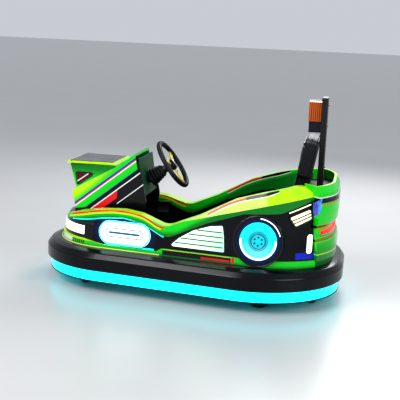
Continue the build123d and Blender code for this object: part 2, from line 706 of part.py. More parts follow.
# Steering: local z of this plane points along the shaft to the driver
STEER_RISE = radians(STEER_ANGLE)
STEER = Plane(origin=(STEER_WHEEL_X, 0, STEER_WHEEL_Z), x_dir=(0, 1, 0),
              z_dir=(-cos(STEER_RISE), 0, sin(STEER_RISE)))
COLUMN_TOP = -42
SHAFT_L = 160
FOOT_W = 40
SPOKE_W = 26
SPOKE_T = 7
STEER_HUB_R = 32

with BuildPart() as steering_wheel:
    with Locations(STEER):
        Torus(STEER_R, RIM_R)
    with BuildSketch(STEER.offset(-SPOKE_T)):
        with PolarLocations(STEER_R / 2, 3, start_angle=90):
            Rectangle(STEER_R, SPOKE_W)
    extrude(amount=SPOKE_T)
    with BuildSketch(STEER.offset(-20)):
        Circle(STEER_HUB_R)
    extrude(amount=26)
    with BuildSketch(STEER.offset(-SHAFT_L)):
        Circle(SHAFT_R)
    extrude(amount=SHAFT_L - 20)
save(steering_wheel.part, "steering_wheel")

# Foot of the column: from the bridge up to the end of the tube
TUBE_END = STEER.origin + STEER.z_dir * (COLUMN_TOP - COLUMN_L)
TUBE_SIDE = TUBE_END + STEER.z_dir * 60
COLUMN_FOOT = [(DRIVE_X - BRIDGE_L / 2, BRIDGE_Z + BRIDGE_T), (DRIVE_X - BRIDGE_L / 2 + 18, BRIDGE_Z + BRIDGE_T),
               (TUBE_END.X + 9, TUBE_END.Z), (TUBE_SIDE.X + 6, TUBE_SIDE.Z), (TUBE_SIDE.X - 6, TUBE_SIDE.Z - 16)]
with BuildPart() as steering_column:
    with BuildSketch(STEER.offset(COLUMN_TOP - COLUMN_L)):
        Circle(COLUMN_R)
    extrude(amount=COLUMN_L)
    extrude(profile(COLUMN_FOOT), amount=FOOT_W / 2, both=True)
    with BuildSketch(STEER.offset(-SHAFT_L - 10)):
        Circle(SHAFT_R + RUN_FIT)
    extrude(amount=SHAFT_L, mode=Mode.SUBTRACT)
save(steering_column.part, "steering_column")

# Dash panel, closing the back of the cowl round the column
DASH = stations([(308, 706), (302, 706), (268, 494), (274, 494)])
with BuildPart() as dash_panel:
    extrude(profile(DASH), amount=COWL_W / 2 - COWL_T, both=True)
    with BuildSketch(STEER.offset(COLUMN_TOP - COLUMN_L)):
        Circle(COLUMN_R + SOFT_GAP)
    extrude(amount=COLUMN_L, mode=Mode.SUBTRACT)
save(dash_panel.part, "dash_panel")

# Accelerator pedal on the floor pan
PEDAL = stations([(404, PAN_Z + PAN_T), (452, PAN_Z + PAN_T), (452, PAN_Z + PAN_T + 12), (396, 292), (384, 286)])
PEDAL_Y = -95
PEDAL_W = 70
with BuildPart() as pedal:
    with BuildSketch(Plane.XZ.offset(-PEDAL_Y - PEDAL_W / 2)):
        with BuildLine():
            Polyline(*PEDAL, close=True)
        make_face()
    extrude(amount=PEDAL_W)
save(pedal.part, "pedal")

# Drive unit: a fork that steers in the bridge and holds the hub-motor wheel
DRIVE_Z = DRIVE_TYRE_D / 2
LEG_T = 10
LEG_W = 50
LEG_IN = DRIVE_TYRE_W / 2 + 8
CROWN_Z = DRIVE_TYRE_D + 12
CROWN_T = 14
COLLAR_R = 38
NUT_R = 34
NUT_T = 10
SEAT_GAP = 0.4

with BuildPart() as drive_fork:
    with BuildSketch(Plane.XY.offset(CROWN_Z)):
        with Locations((DRIVE_X, 0)):
            Rectangle(LEG_W + 36, 2 * (LEG_IN + LEG_T))
    extrude(amount=CROWN_T)
    with BuildSketch(Plane.XY.offset(CROWN_Z + CROWN_T)):
        with Locations((DRIVE_X, 0)):
            Circle(COLLAR_R)
    extrude(amount=BRIDGE_Z - SEAT_GAP - CROWN_Z - CROWN_T)
    with BuildSketch(Plane.XY.offset(CROWN_Z + CROWN_T)):
        with Locations((DRIVE_X, 0)):
            Circle(STEM_R)
    extrude(amount=BRIDGE_Z + BRIDGE_T + NUT_T - CROWN_Z - CROWN_T)
    with BuildSketch(Plane.XY.offset(BRIDGE_Z + BRIDGE_T + SEAT_GAP)):
        with Locations((DRIVE_X, 0)):
            Circle(NUT_R)
    extrude(amount=NUT_T - SEAT_GAP)
    with BuildSketch(Plane.XZ.offset(LEG_IN)):
        with Locations((DRIVE_X, (CROWN_Z + DRIVE_Z) / 2)):
            Rectangle(LEG_W, CROWN_Z - DRIVE_Z)
        with Locations((DRIVE_X, DRIVE_Z)):
            Circle(LEG_W / 2)
    extrude(amount=LEG_T)
    mirror(about=Plane.XZ)
    with BuildSketch(Plane.XZ):
        with Locations((DRIVE_X, DRIVE_Z)):
            Circle(AXLE_D / 2)
    extrude(amount=LEG_IN + LEG_T, both=True)
save(drive_fork.part, "drive_fork")


def wheel_ring(name, x, y, axle_z, outer, inner, width):
    """A wheel or tyre: a ring about an axle along Y."""
    with BuildPart() as ring:
        with BuildSketch(Plane.XZ.offset(-y)):
            with Locations((x, axle_z)):
                Circle(outer)
                Circle(inner, mode=Mode.SUBTRACT)
        extrude(amount=width / 2, both=True)
        rims = ring.edges().filter_by(GeomType.CIRCLE).sort_by(SortBy.RADIUS)[-2:]
        fillet(rims, min(width, outer - inner) * 0.16)
    save(ring.part, name)


wheel_ring("drive_tyre", DRIVE_X, 0, DRIVE_Z, DRIVE_TYRE_D / 2, DRIVE_HUB_D / 2, DRIVE_TYRE_W)
wheel_ring("drive_hub", DRIVE_X, 0, DRIVE_Z, DRIVE_HUB_D / 2, AXLE_D / 2 + RUN_FIT, DRIVE_TYRE_W - 6)
for side, sign in (("left", 1), ("right", -1)):
    wheel_ring(f"rear_tyre_{side}", WHEEL_X, sign * WHEEL_Y, AXLE_Z, TYRE_D / 2, HUB_D / 2, TYRE_W)
    wheel_ring(f"rear_hub_{side}", WHEEL_X, sign * WHEEL_Y, AXLE_Z, HUB_D / 2, AXLE_D / 2 + RUN_FIT, TYRE_W - 6)

# Swivel casters under the ends of the rails
CASTER_Z = CASTER_D / 2
CASTER_AXLE_R = 5
CASTER_LEG_IN = CASTER_W / 2 + 5
CASTER_LEG_T = 4
CASTER_LEG_W = 24
CASTER_CROWN_Z = CASTER_D + 6
CASTER_CROWN_T = 7
for end, caster_x in CASTER_XS:
    for side, sign in (("left", 1), ("right", -1)):
        axle_x = caster_x - CASTER_TRAIL
        centre = Plane.XZ.offset(-sign * RAIL_Y)
        with BuildPart() as caster_fork:
            with BuildSketch(centre):
                with Locations((axle_x, (CASTER_Z + CASTER_CROWN_Z) / 2)):
                    Rectangle(CASTER_LEG_W, CASTER_CROWN_Z - CASTER_Z)
                with Locations((axle_x, CASTER_Z)):
                    Circle(CASTER_LEG_W / 2)
            extrude(amount=CASTER_LEG_IN + CASTER_LEG_T, both=True)
            with BuildSketch(centre):
                with Locations((axle_x, CASTER_Z)):
                    Rectangle(2 * CASTER_LEG_W, 2 * (CASTER_CROWN_Z - CASTER_Z))
            extrude(amount=CASTER_LEG_IN, both=True, mode=Mode.SUBTRACT)
            with BuildSketch(Plane.XY.offset(CASTER_CROWN_Z)):
                with Locations(((axle_x + caster_x) / 2, sign * RAIL_Y)):
                    Rectangle(CASTER_TRAIL + 44, 2 * (CASTER_LEG_IN + CASTER_LEG_T))
            extrude(amount=CASTER_CROWN_T)
            with BuildSketch(Plane.XY.offset(CASTER_CROWN_Z)):
                with Locations((caster_x, sign * RAIL_Y)):
                    Circle(CASTER_STEM_R)
            extrude(amount=FRAME_Z - 5 - CASTER_CROWN_Z)
            with BuildSketch(Plane.XY.offset(CASTER_CROWN_Z)):
                with Locations((caster_x, sign * RAIL_Y)):
                    Circle(2 * CASTER_STEM_R)
            extrude(amount=CASTER_HOUSING_BOTTOM - SEAT_GAP - CASTER_CROWN_Z)
            with BuildSketch(centre):
                with Locations((axle_x, CASTER_Z)):
                    Circle(CASTER_AXLE_R)
            extrude(amount=CASTER_LEG_IN + CASTER_LEG_T, both=True)
        save(caster_fork.part, f"caster_fork_{end}_{side}")
        wheel_ring(f"caster_wheel_{end}_{side}", axle_x, sign * RAIL_Y, CASTER_Z, CASTER_D / 2,
                   CASTER_AXLE_R + RUN_FIT, CASTER_W)

# Seat tub: a plinth over the battery, the back board and the shelf behind it
BACK_FOOT_X = PLINTH_REAR_X - 6
BACK_HEAD_X = BACK_FOOT_X - 98
BACK_LEAN = atan2(BACK_FOOT_X - BACK_HEAD_X, BACK_TOP - PLINTH_TOP)
BACK_L = (BACK_TOP - PLINTH_TOP) / cos(BACK_LEAN)
BACK_LOW_HALF = 190
BACK_HIGH_HALF = 245
BACK_STEP_Z = 672
BACK_STEP = (BACK_STEP_Z - PLINTH_TOP) / cos(BACK_LEAN)
BACK_T = 60
SHELF_Z = 585
SHELF_GAP = 1
SHELF_FRONT_X = BACK_FOOT_X - (SHELF_Z - PLINTH_TOP) * tan(BACK_LEAN) - SHELL_T / 2
BACK = Plane(origin=(BACK_FOOT_X, 0, PLINTH_TOP), x_dir=(0, 1, 0), z_dir=(cos(BACK_LEAN), 0, sin(BACK_LEAN)))


def back_shape(margin):
    """Front view of the seat back: narrow between the coamings, wide above them."""
    with BuildSketch(BACK) as face:
        with BuildLine():
            Polyline((-BACK_LOW_HALF + margin, 0), (BACK_LOW_HALF - margin, 0), (BACK_LOW_HALF - margin, BACK_STEP + margin),
                     (BACK_HIGH_HALF - margin, BACK_STEP + margin), (BACK_HIGH_HALF - margin, BACK_L - margin),
                     (margin - BACK_HIGH_HALF, BACK_L - margin), (margin - BACK_HIGH_HALF, BACK_STEP + margin),
                     (margin - BACK_LOW_HALF, BACK_STEP + margin), close=True)
        make_face()
    return face.sketch


with BuildPart() as shelf_room:
    extrude(plan(wall_inset(SHELF_Z + SHELL_T) + COAMING_W - COAMING_PROUD, 0, BODY_ENDS), amount=FAR)
    add(rear_wedge.part)
with BuildPart() as rear_shelf:
    with BuildSketch(Plane.XY.offset(SHELF_Z)):
        with Locations((SHELF_FRONT_X, 0)):
            Rectangle(LENGTH / 2, WIDTH / 2, align=(Align.MAX, Align.MIN))
        add(plan(LOBE_INSET + REAR_PANEL_T + SHELF_GAP, 0), mode=Mode.INTERSECT)
    extrude(amount=SHELL_T)
    add(shelf_room.part, mode=Mode.INTERSECT)
    add(rear_panel.part, mode=Mode.SUBTRACT)
    mirror(about=Plane.XZ)
with BuildPart() as seat_tub:
    with BuildSketch(Plane.XY.offset(PAN_Z + PAN_T)):
        with Locations(((PLINTH_FRONT_X + PLINTH_REAR_X) / 2, 0)):
            Rectangle(PLINTH_FRONT_X - PLINTH_REAR_X, 2 * SEAT_HALF)
    extrude(amount=PLINTH_TOP - PAN_Z - PAN_T)
    with BuildSketch(Plane.XY.offset(PAN_Z + PAN_T)):
        with Locations(((PLINTH_FRONT_X + PLINTH_REAR_X) / 2, 0)):
            Rectangle(PLINTH_FRONT_X - PLINTH_REAR_X - 2 * SHELL_T, 2 * SEAT_HALF - 2 * SHELL_T)
    extrude(amount=PLINTH_TOP - PAN_Z - PAN_T - SHELL_T, mode=Mode.SUBTRACT)
    extrude(back_shape(10), amount=-SHELL_T)
    with BuildSketch(Plane.XY.offset(PLINTH_TOP - SHELL_T)):
        with Locations((PLINTH_REAR_X, 0)):
            Rectangle(60, 2 * BACK_LOW_HALF)
    extrude(amount=SHELL_T)
    add(rear_shelf.part)
save(seat_tub.part, "seat_tub")

with BuildPart() as seat_cushion:
    with BuildSketch(Plane.XY.offset(PLINTH_TOP + SOFT_GAP)):
        with Locations(((PLINTH_FRONT_X + PLINTH_REAR_X + BACK_T + 8) / 2, 0)):
            Rectangle(PLINTH_FRONT_X - PLINTH_REAR_X - BACK_T - 8, 2 * SEAT_HALF - 20)
    extrude(amount=CUSHION_H)
save(seat_cushion.part, "seat_cushion")

with BuildPart() as seat_back:
    extrude(back_shape(0), amount=BACK_T)
    with BuildSketch():
        Rectangle(FAR, FAR)
    extrude(amount=PLINTH_TOP + SOFT_GAP, mode=Mode.SUBTRACT)
save(seat_back.part, "seat_back")

# Post behind the seat, with its ribbed lamp
LAMP_BOX_Z = (900, 1072)
LAMP_BOX_L = 66
LAMP_BOX_W = 110
with BuildPart() as seat_post:
    with BuildSketch(Plane.XY.offset(SHELF_Z + SHELL_T)):
        with Locations((POST_X, 0)):
            Rectangle(POST_T, POST_W)
    extrude(amount=POST_TOP - SHELF_Z - SHELL_T)
save(seat_post.part, "seat_post")

with BuildPart() as post_lamp:
    with BuildSketch(Plane.XY.offset(LAMP_BOX_Z[0])):
        with Locations((POST_X + POST_T / 2 + LAMP_BOX_L / 2, 0)):
            Rectangle(LAMP_BOX_L, LAMP_BOX_W)
    extrude(amount=LAMP_BOX_Z[1] - LAMP_BOX_Z[0])
save(post_lamp.part, "post_lamp")

# Battery pack under the seat
BATTERY = (300, 320, 116)
with BuildPart() as battery_pack:
    with Locations(((PLINTH_FRONT_X + PLINTH_REAR_X) / 2, 0, PAN_Z + PAN_T)):
        Box(*BATTERY, align=(Align.CENTER, Align.CENTER, Align.MIN))
save(battery_pack.part, "battery_pack")
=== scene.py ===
"""Finishes, trim, padding and lights of an electric bumper kart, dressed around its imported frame."""

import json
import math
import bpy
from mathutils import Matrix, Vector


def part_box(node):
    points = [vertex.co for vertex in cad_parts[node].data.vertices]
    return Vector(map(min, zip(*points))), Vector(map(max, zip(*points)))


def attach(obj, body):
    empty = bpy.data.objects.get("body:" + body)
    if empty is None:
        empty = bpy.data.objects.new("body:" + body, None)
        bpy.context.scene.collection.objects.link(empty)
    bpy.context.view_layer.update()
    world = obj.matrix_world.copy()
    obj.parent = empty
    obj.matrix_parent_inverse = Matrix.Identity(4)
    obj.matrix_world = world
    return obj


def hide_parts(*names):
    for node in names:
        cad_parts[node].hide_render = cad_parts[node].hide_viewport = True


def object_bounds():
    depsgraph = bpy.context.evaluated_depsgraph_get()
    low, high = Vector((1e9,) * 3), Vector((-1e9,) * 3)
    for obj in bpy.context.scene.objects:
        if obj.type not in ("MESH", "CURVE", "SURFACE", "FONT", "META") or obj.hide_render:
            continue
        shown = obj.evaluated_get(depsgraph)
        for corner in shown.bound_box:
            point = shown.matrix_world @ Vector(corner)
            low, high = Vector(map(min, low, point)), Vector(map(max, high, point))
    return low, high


bl_info = {
    "name": "Bumper kart dressing",
    "version": (1, 0, 0),
    "blender": (4, 5, 0),
    "location": "View3D > Sidebar > Kart",
    "description": "Finishes and trim of an electric bumper kart, built around its packed frame",
    "category": "Object",
}

import bmesh
import bpy
from mathutils import Matrix, Vector, bvhtree, geometry

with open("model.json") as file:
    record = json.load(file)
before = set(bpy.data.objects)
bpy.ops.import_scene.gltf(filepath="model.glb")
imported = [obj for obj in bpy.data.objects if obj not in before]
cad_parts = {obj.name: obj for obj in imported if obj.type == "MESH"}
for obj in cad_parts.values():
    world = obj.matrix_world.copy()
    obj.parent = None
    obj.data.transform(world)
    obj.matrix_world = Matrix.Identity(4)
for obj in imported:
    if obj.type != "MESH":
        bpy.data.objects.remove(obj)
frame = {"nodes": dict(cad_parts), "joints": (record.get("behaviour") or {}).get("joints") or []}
NODES = frame["nodes"]
SPOTS = {joint["name"]: Vector(joint["pos_m"]) for joint in frame["joints"]}
CAD_BOX = [list(corner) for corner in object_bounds()]
UP = Vector((0, 0, 1))
QUARTER_TURN = Matrix.Rotation(math.pi / 2, 4, "Z")
SIDES = (("left", 1), ("right", -1))

# Plan of the body walls, in metres, as the frame has them: radii of nose and tail, and the stations of
# their circles; where the wall begins, how far it leans in and how far the mouldings stand off it
LENGTH = CAD_BOX[1][0] - CAD_BOX[0][0]
WIDTH = CAD_BOX[1][1] - CAD_BOX[0][1]
NOSE_R = 0.46
TAIL_R = 0.48
TAIL_Y = WIDTH / 2 - TAIL_R
RING_ENDS = (LENGTH / 2 - NOSE_R, TAIL_R - LENGTH / 2)
BODY_ENDS = (RING_ENDS[0] + 0.025, RING_ENDS[1] - 0.075)
WALL_FOOT = 0.228
WALL_FOOT_INSET = 0.118
WALL_LEAN = 0.12
BAND_PROUD = 0.010
COAMING_PROUD = 0.012

# Side view lines of the body: station and height
COAMING_BOTTOM = [(0.700, 0.352), (0.560, 0.374), (0.450, 0.395), (0.330, 0.406), (0.222, 0.386),
                  (0.090, 0.320), (-0.130, 0.424), (-0.330, 0.494), (-0.520, 0.510), (-0.690, 0.582)]
COAMING_TOP = [(0.700, 0.376), (0.600, 0.404), (0.480, 0.432), (0.340, 0.443), (0.235, 0.430), (0.092, 0.380),
               (-0.080, 0.454), (-0.275, 0.559), (-0.425, 0.606), (-0.605, 0.651), (-0.690, 0.606)]
COWL_EDGE = [(0.600, 0.412), (0.301, 0.651)]

# Lamps of the side walls, in side view; slots are station, height, length and width
STADIUM = (0.327, 0.318, 0.298, 0.128)
STADIUM_REACH = (STADIUM[2] - STADIUM[3]) / 2
GRILLE = [(0.066, 0.284), (0.016, 0.330), (-0.060, 0.378), (-0.150, 0.409), (-0.216, 0.418), (-0.226, 0.360),
          (-0.232, 0.283)]
SLATS = [(-0.566, 0.490), (-0.664, 0.530), (-0.672, 0.482), (-0.596, 0.446)]
MARKER = (-0.671, 0.350, 0.026, 0.098)
DISC = (-0.412, 0.360)
DISC_R = 0.099
DISC_FACE = 0.011
DISC_HUB_R = 0.036
DISC_HUB_FLOOR = 0.005
ARCH_R = 0.134
ARCH_FACE = 0.013
LAMP_PROUD = 0.003

# Light bars round the nose: run from the middle, and height
NOSE_BAR_R = 0.332
NOSE_BARS = [(-0.108, 0.108), (0.144, 0.362), (-0.362, -0.144)]
NOSE_BAR_Z = (0.286, 0.332)

# Cowl, display box, steering wheel and pedal
COWL_HALF = 0.170
BOX_HALF = 0.165
BOX_PLAN = [(0.710, 0.181), (0.442, 0.165)]
BOX_TOP = 0.670
BOX_WINDOW = [(0.662, 0.606), (0.652, 0.536), (0.556, 0.606)]
BOX_FACE_LINE = ((0.700, 0.660), (0.660, 0.516))
DISPLAY = (0.220, 0.112)
DISPLAY_SET = 0.004
STEER_AT = Vector((0.145, 0, 0.665))
STEER_AXIS = Vector((-math.cos(math.radians(35)), 0, math.sin(math.radians(35))))
STEER_R = 0.136
RIM_R = 0.013
PEDAL_FACE = ((0.404, 0.171), (0.384, 0.286))

# Radius and height of the screws that show and the range of their spin, and where trim's foot is sunk
SCREW = (0.0045, 0.003)
SCREW_SPIN = 3.0
SUNK = -0.001

# Grooves round the tyres, drawn as wide as they need to show, and pebbles of the vinyl
GROOVE_PITCH = 0.011
PEBBLE_MM = 1000 / 420 / 2


def linear(paint):
    """An sRGB hex colour as linear red, green, blue and alpha; a colour that is linear stays as it is."""
    if not isinstance(paint, str):
        return paint
    parts = [int(paint[i:i + 2], 16) / 255 for i in (1, 3, 5)]
    return (*[p / 12.92 if p <= 0.04045 else ((p + 0.055) / 1.055) ** 2.4 for p in parts], 1.0)


def colour(name, text, note):
    """A colour property with its sRGB default."""
    return bpy.props.FloatVectorProperty(name=name, description=note, subtype="COLOR", size=4, min=0, max=1,
                                         default=linear(text))


def length(name, millimetres, note):
    """A length property with its default in millimetres, kept in metres."""
    return bpy.props.FloatProperty(name=name, description=note, subtype="DISTANCE", unit="LENGTH", min=0,
                                   default=millimetres / 1000)


class KartColours(bpy.types.PropertyGroup):
    """Colours a user would change."""

    green: colour("Body green", "#08D420", "Main colour of the body mouldings")
    # lime is both the colour of lime lines and trim and the painted highlight on faces and edges that look up
    lime: colour("Lime", "#BFF000", "Colour of the faces and edges that look up")
    # painted shade: this darker green is painted where the body mouldings are in shade
    painted_shade_green: colour("Deep green", "#067A20", "Shaded part of the body mouldings")
    red: colour("Red", "#F0102A", "Red stripes and patches")
    blue: colour("Blue", "#1226C8", "Blue stripes")
    white: colour("White", "#F4F4F4", "White stripes")
    navy: colour("Navy", "#05060F", "Glossy inserts of the sides")
    glow: colour("Glow", "#00F2FF", "Light of the skirt and of the wheel lamps")
    daylight: colour("Lamp white", "#F6FFFB", "Light of the front lamps")
    mint: colour("Lamp mint", "#BFFFC8", "Light of the slatted lamps")
    warm: colour("Lamp warm", "#FFFAC8", "Light of the rear lamps")
    digits: colour("Digits", "#FF3A10", "Light of the number display")
    amber: colour("Amber", "#B4530F", "Light of the post lamp")
    vinyl: colour("Vinyl", "#14151A", "Seat covering")


class KartSizes(bpy.types.PropertyGroup):
    """Sizes a user would change."""

    voxel: length("Cushion voxel", 6, "Mesh size of the padded cushions")
    piping: length("Piping", 5, "Radius of the seat's piping")
    stripe_soft: length("Stripe edge", 0.6, "Width over which two painted colours meet")
    rib_pitch: length("Lamp rib pitch", 11, "Distance between the post lamp's ribs")
    lug_pitch: length("Floor lug pitch", 30, "Distance between the lugs of the floor plate")


def colours():
    return bpy.context.scene.kart_colours


def sizes():
    return bpy.context.scene.kart_sizes


def add_node(tree, kind, inputs=None, **settings):
    """Add a node with its settings, and its inputs from values, sockets or signals."""
    made = tree.nodes.new(kind)
    for name, value in settings.items():
        setattr(made, name, value)
    for name, value in (inputs or {}).items():
        value = getattr(value, "socket", value)
        if isinstance(value, bpy.types.NodeSocket):
            tree.links.new(value, made.inputs[name])
        else:
            made.inputs[name].default_value = value
    return made


# What the finishes are drawn with: node, settings, inputs in the order of their values, and output.
# A ramp runs from 0 to 1 between two values with soft ends, and an even one between two given results
PATTERNS = {
    "place": ("TexCoord", {}, (), "Object"),
    "direction": ("NewGeometry", {}, (), "Normal"),
    "noise": ("TexNoise", {}, ("Vector", "Scale", "Detail", "Roughness"), 0),
    "pebbles": ("TexVoronoi", {}, ("Vector", "Scale"), 0),
    "ramp": ("MapRange", {"interpolation_type": "SMOOTHSTEP"}, (0, 1, 2), 0),
    "even ramp": ("MapRange", {}, (0, 1, 2, 3, 4), 0),
    "add": ("Math", {"operation": "ADD"}, (0, 1), 0),
    "subtract": ("Math", {"operation": "SUBTRACT"}, (0, 1), 0),
    "multiply": ("Math", {"operation": "MULTIPLY"}, (0, 1), 0),
    "larger": ("Math", {"operation": "MAXIMUM"}, (0, 1), 0),
    "size": ("Math", {"operation": "ABSOLUTE"}, (0,), 0),
    "root": ("Math", {"operation": "SQRT"}, (0,), 0),
    "sine": ("Math", {"operation": "SINE"}, (0,), 0),
    "along": ("VectorMath", {"operation": "DOT_PRODUCT"}, (0, 1), "Value"),
    "distance": ("VectorMath", {"operation": "DISTANCE"}, (0, 1), "Value"),
    "mix": ("Mix", {"data_type": "RGBA"}, (0, 6, 7), 2),
    "bump": ("Bump", {}, ("Height", "Distance", "Strength"), 0),
}


def draw(tree, pattern, *values):
    """A pattern from the list above, from values or signals, as a signal."""
    kind, settings, inputs, output = PATTERNS[pattern]
    return Signal(add_node(tree, "ShaderNode" + kind, dict(zip(inputs, values)), **settings).outputs[output])


class Signal:
    """A socket of a material that arithmetic works on."""

    def __init__(self, socket):
        self.socket = socket

    def to(self, pattern, *values):
        """The signal led into a pattern."""
        return draw(self.socket.id_data, pattern, self, *values)

    def __add__(self, other):
        return self.to("add", other)

    def __sub__(self, other):
        return self.to("subtract", other)

    def __rsub__(self, other):
        return draw(self.socket.id_data, "subtract", other, self)

    def __mul__(self, other):
        return self.to("multiply", other)

    def __abs__(self):
        return self.to("size")

    def between(self, low, high):
        """1 between low and high, with the stripes' edge softness."""
        soft = sizes().stripe_soft
        return self.to("ramp", low - soft, low + soft) * self.to("ramp", high + soft, high - soft)

    def past(self, half):
        """How far the signal is past half to either side, and 0 within it."""
        return (abs(self) - half).to("larger", 0.0)


def away(along, up):
    """Distance from the point where both signals are 0."""
    return (up * up + along * along).to("root")


def shade(paint, factor, least=0.0):
    """A colour made darker or lighter, its alpha kept at 1."""
    return [factor * v + least for v in linear(paint)[:3]] + [1.0]


class Finish:
    """A material in the making: its shader, its Object coordinates in metres, and its patterns."""

    def __init__(self, name):
        self.made = bpy.data.materials.new(name)
        self.made.use_nodes = True
        self.tree = self.made.node_tree
        self.tree.nodes.clear()
        self.shader = add_node(self.tree, "ShaderNodeBsdfPrincipled")
        add_node(self.tree, "ShaderNodeOutputMaterial", {"Surface": self.shader.outputs[0]})
        self.place = draw(self.tree, "place")

    def parts(self, vector=None):
        """The three parts of a vector, or of the Object coordinates."""
        split = add_node(self.tree, "ShaderNodeSeparateXYZ", {0: vector or self.place})
        return [Signal(part) for part in split.outputs]

    def looks(self):
        """The three parts of the surface's direction; the last says how much it looks up."""
        return self.parts(draw(self.tree, "direction"))

    def grains(self, pattern, size_mm, *more):
        """Noise or pebbles whose grains are about size_mm across."""
        return self.place.to(pattern, 1000 / size_mm / 2, *more)

    def clouds(self, size_mm, low, high, detail=3.0, rough=0.55):
        """Cloudy patches about size_mm across: 0 where the noise is under low, and 1 over high."""
        return self.grains("noise", size_mm, detail, rough).to("ramp", low, high)

    def line_height(self, x, points):
        """The height of a body line at each station, as a curve through its points."""
        low, high = min(p[0] for p in points), max(p[0] for p in points)
        curve = add_node(self.tree, "ShaderNodeFloatCurve", {"Value": x.to("even ramp", low, high)})
        curve.mapping.use_clip = True
        line = curve.mapping.curves[0]
        ordered = sorted(((x - low) / (high - low), z) for x, z in points)
        line.points[0].location = ordered[0]
        line.points[1].location = ordered[-1]
        for spot in ordered[1:-1]:
            line.points.new(*spot)
        curve.mapping.update()
        return Signal(curve.outputs["Value"])

    def over_cowl_edge(self):
        """Distance over the line along the cowl's lower edge, negative under it."""
        (x0, z0), (x1, z1) = COWL_EDGE
        run = math.hypot(x1 - x0, z1 - z0)
        across = self.place.to("along", ((z1 - z0) / run, 0, (x0 - x1) / run))
        return across - (x0 * (z1 - z0) + z0 * (x0 - x1)) / run

    def paint(self, base, *layers):
        """Lay colours over a base: each layer is a mask and a colour."""
        for mask, over in layers:
            base = mask.to("mix", linear(base), linear(over))
        return base

    def done(self, base, rough, height=None, depth_mm=0.0, strength=1.0, emission=None, **plain):
        """Set the shader and return the material: a pattern's height becomes a bump of depth_mm."""
        given = {"Base Color": linear(base), "Roughness": rough, "Emission Color": emission,
                 "Normal": height and height.to("bump", depth_mm / 1000, strength)}
        given.update({name.replace("_", " "): value for name, value in plain.items()})
        for name, value in given.items():
            value = getattr(value, "socket", value)
            if isinstance(value, bpy.types.NodeSocket):
                self.tree.links.new(value, self.shader.inputs[name])
            elif value is not None:
                self.shader.inputs[name].default_value = value
        return self.made

    def moulded(self, base, rough=0.28, coat=0.35):
        """Glossy moulded plastic: fine orange peel under a clear coat, with faint handling marks."""
        marks = self.grains("noise", 60, 6.0, 0.7).to("even ramp", 0.35, 0.7, rough - 0.06, rough + 0.12)
        return self.done(base, marks, self.grains("noise", 3.0, 3.0, 0.55), 0.15, 0.25, Coat_Weight=coat,
                         Coat_Roughness=0.06, Specular_IOR_Level=0.3, IOR=1.45)


def coaming_green():
    """Painted ABS moulding of the coamings: painted highlight in lime where it looks up, painted shade in a
    darker green down its side, striped along its top edge.
    """
    f, c = Finish("painted_abs_coaming"), colours()
    x, _, z = f.parts()
    under, up = f.line_height(x, COAMING_TOP) - z, f.looks()[2]
    # the cloudy lime of the painted highlight
    lime = f.paint(c.lime, (f.clouds(90, 0.35, 0.7) * 0.4, c.green))
    slanted = 1.0 - up.to("ramp", 0.88, 0.96)
    edge = (1.0 - up.to("ramp", 0.6, 0.8)) * under.between(0.000, 0.010)
    return f.moulded(f.paint(
        c.green,
        # painted shade: darker green further down the side, under the top line
        (under.to("ramp", 0.012, 0.045), c.painted_shade_green),
        # painted highlight: lime where the surface looks up
        (up.to("ramp", 0.25, 0.5), lime),
        (edge * x.between(0.10, 0.66), c.red),
        (under.between(0.010, 0.020) * x.between(0.12, 0.68), c.lime),
        (slanted * under.between(0.004, 0.016) * x.between(-0.33, -0.13), c.red),
        (slanted * under.between(0.002, 0.018) * x.between(-0.50, -0.33), c.navy),
        (slanted * under.between(0.018, 0.022) * x.between(-0.50, -0.13), c.white),
    ))


def band_green():
    """Painted ABS moulding of the body band: a lime line along its top and painted highlight in lime where it
    looks up, both at the nose, and painted shade in a darker green at its foot.
    """
    f, c = Finish("painted_abs_band"), colours()
    x, _, z = f.parts()
    nose = x.to("ramp", 0.30, 0.45)
    return f.moulded(f.paint(
        # painted shade: the band starts in the darker green, which stays at its foot
        c.painted_shade_green,
        (z.to("ramp", 0.226, 0.248), c.green),
        (nose * z.between(0.257, 0.270), c.lime),
        # painted highlight: lime where the band looks up at the nose
        (nose * f.looks()[2].to("ramp", 0.4, 0.8), c.lime),
    ))


def cowl_green():
    """Painted ABS moulding of the cowl, with lines that follow its lower edge, and painted highlight in lime
    over its upper part at the front and on the deck's edges that look up.
    """
    f, c = Finish("painted_abs_cowl"), colours()
    x, y, _ = f.parts()
    over, off_middle = f.over_cowl_edge(), abs(y)
    side = off_middle.to("ramp", 0.155, 0.165)
    lines = ((-0.014, -0.009, c.white), (-0.009, 0.003, c.blue), (0.040, 0.046, c.white),
             (0.046, 0.052, c.red), (0.052, 0.060, c.blue))
    deck = f.looks()[2].to("ramp", 0.3, 0.6)
    return f.moulded(f.paint(
        c.green,
        # painted highlight: lime over the upper part of the side, towards the front
        (over.to("ramp", 0.055, 0.10), f.paint(c.green, (x.to("ramp", 0.40, 0.60), c.lime))),
        *((side * over.between(low, high), paint) for low, high, paint in lines),
        # painted highlight: lime on the deck's edges where they look up
        (deck * off_middle.to("ramp", 0.13, 0.15), c.lime),
        (deck * off_middle.between(-1.0, 0.09) * x.between(0.30, 0.40), c.red),
    ))


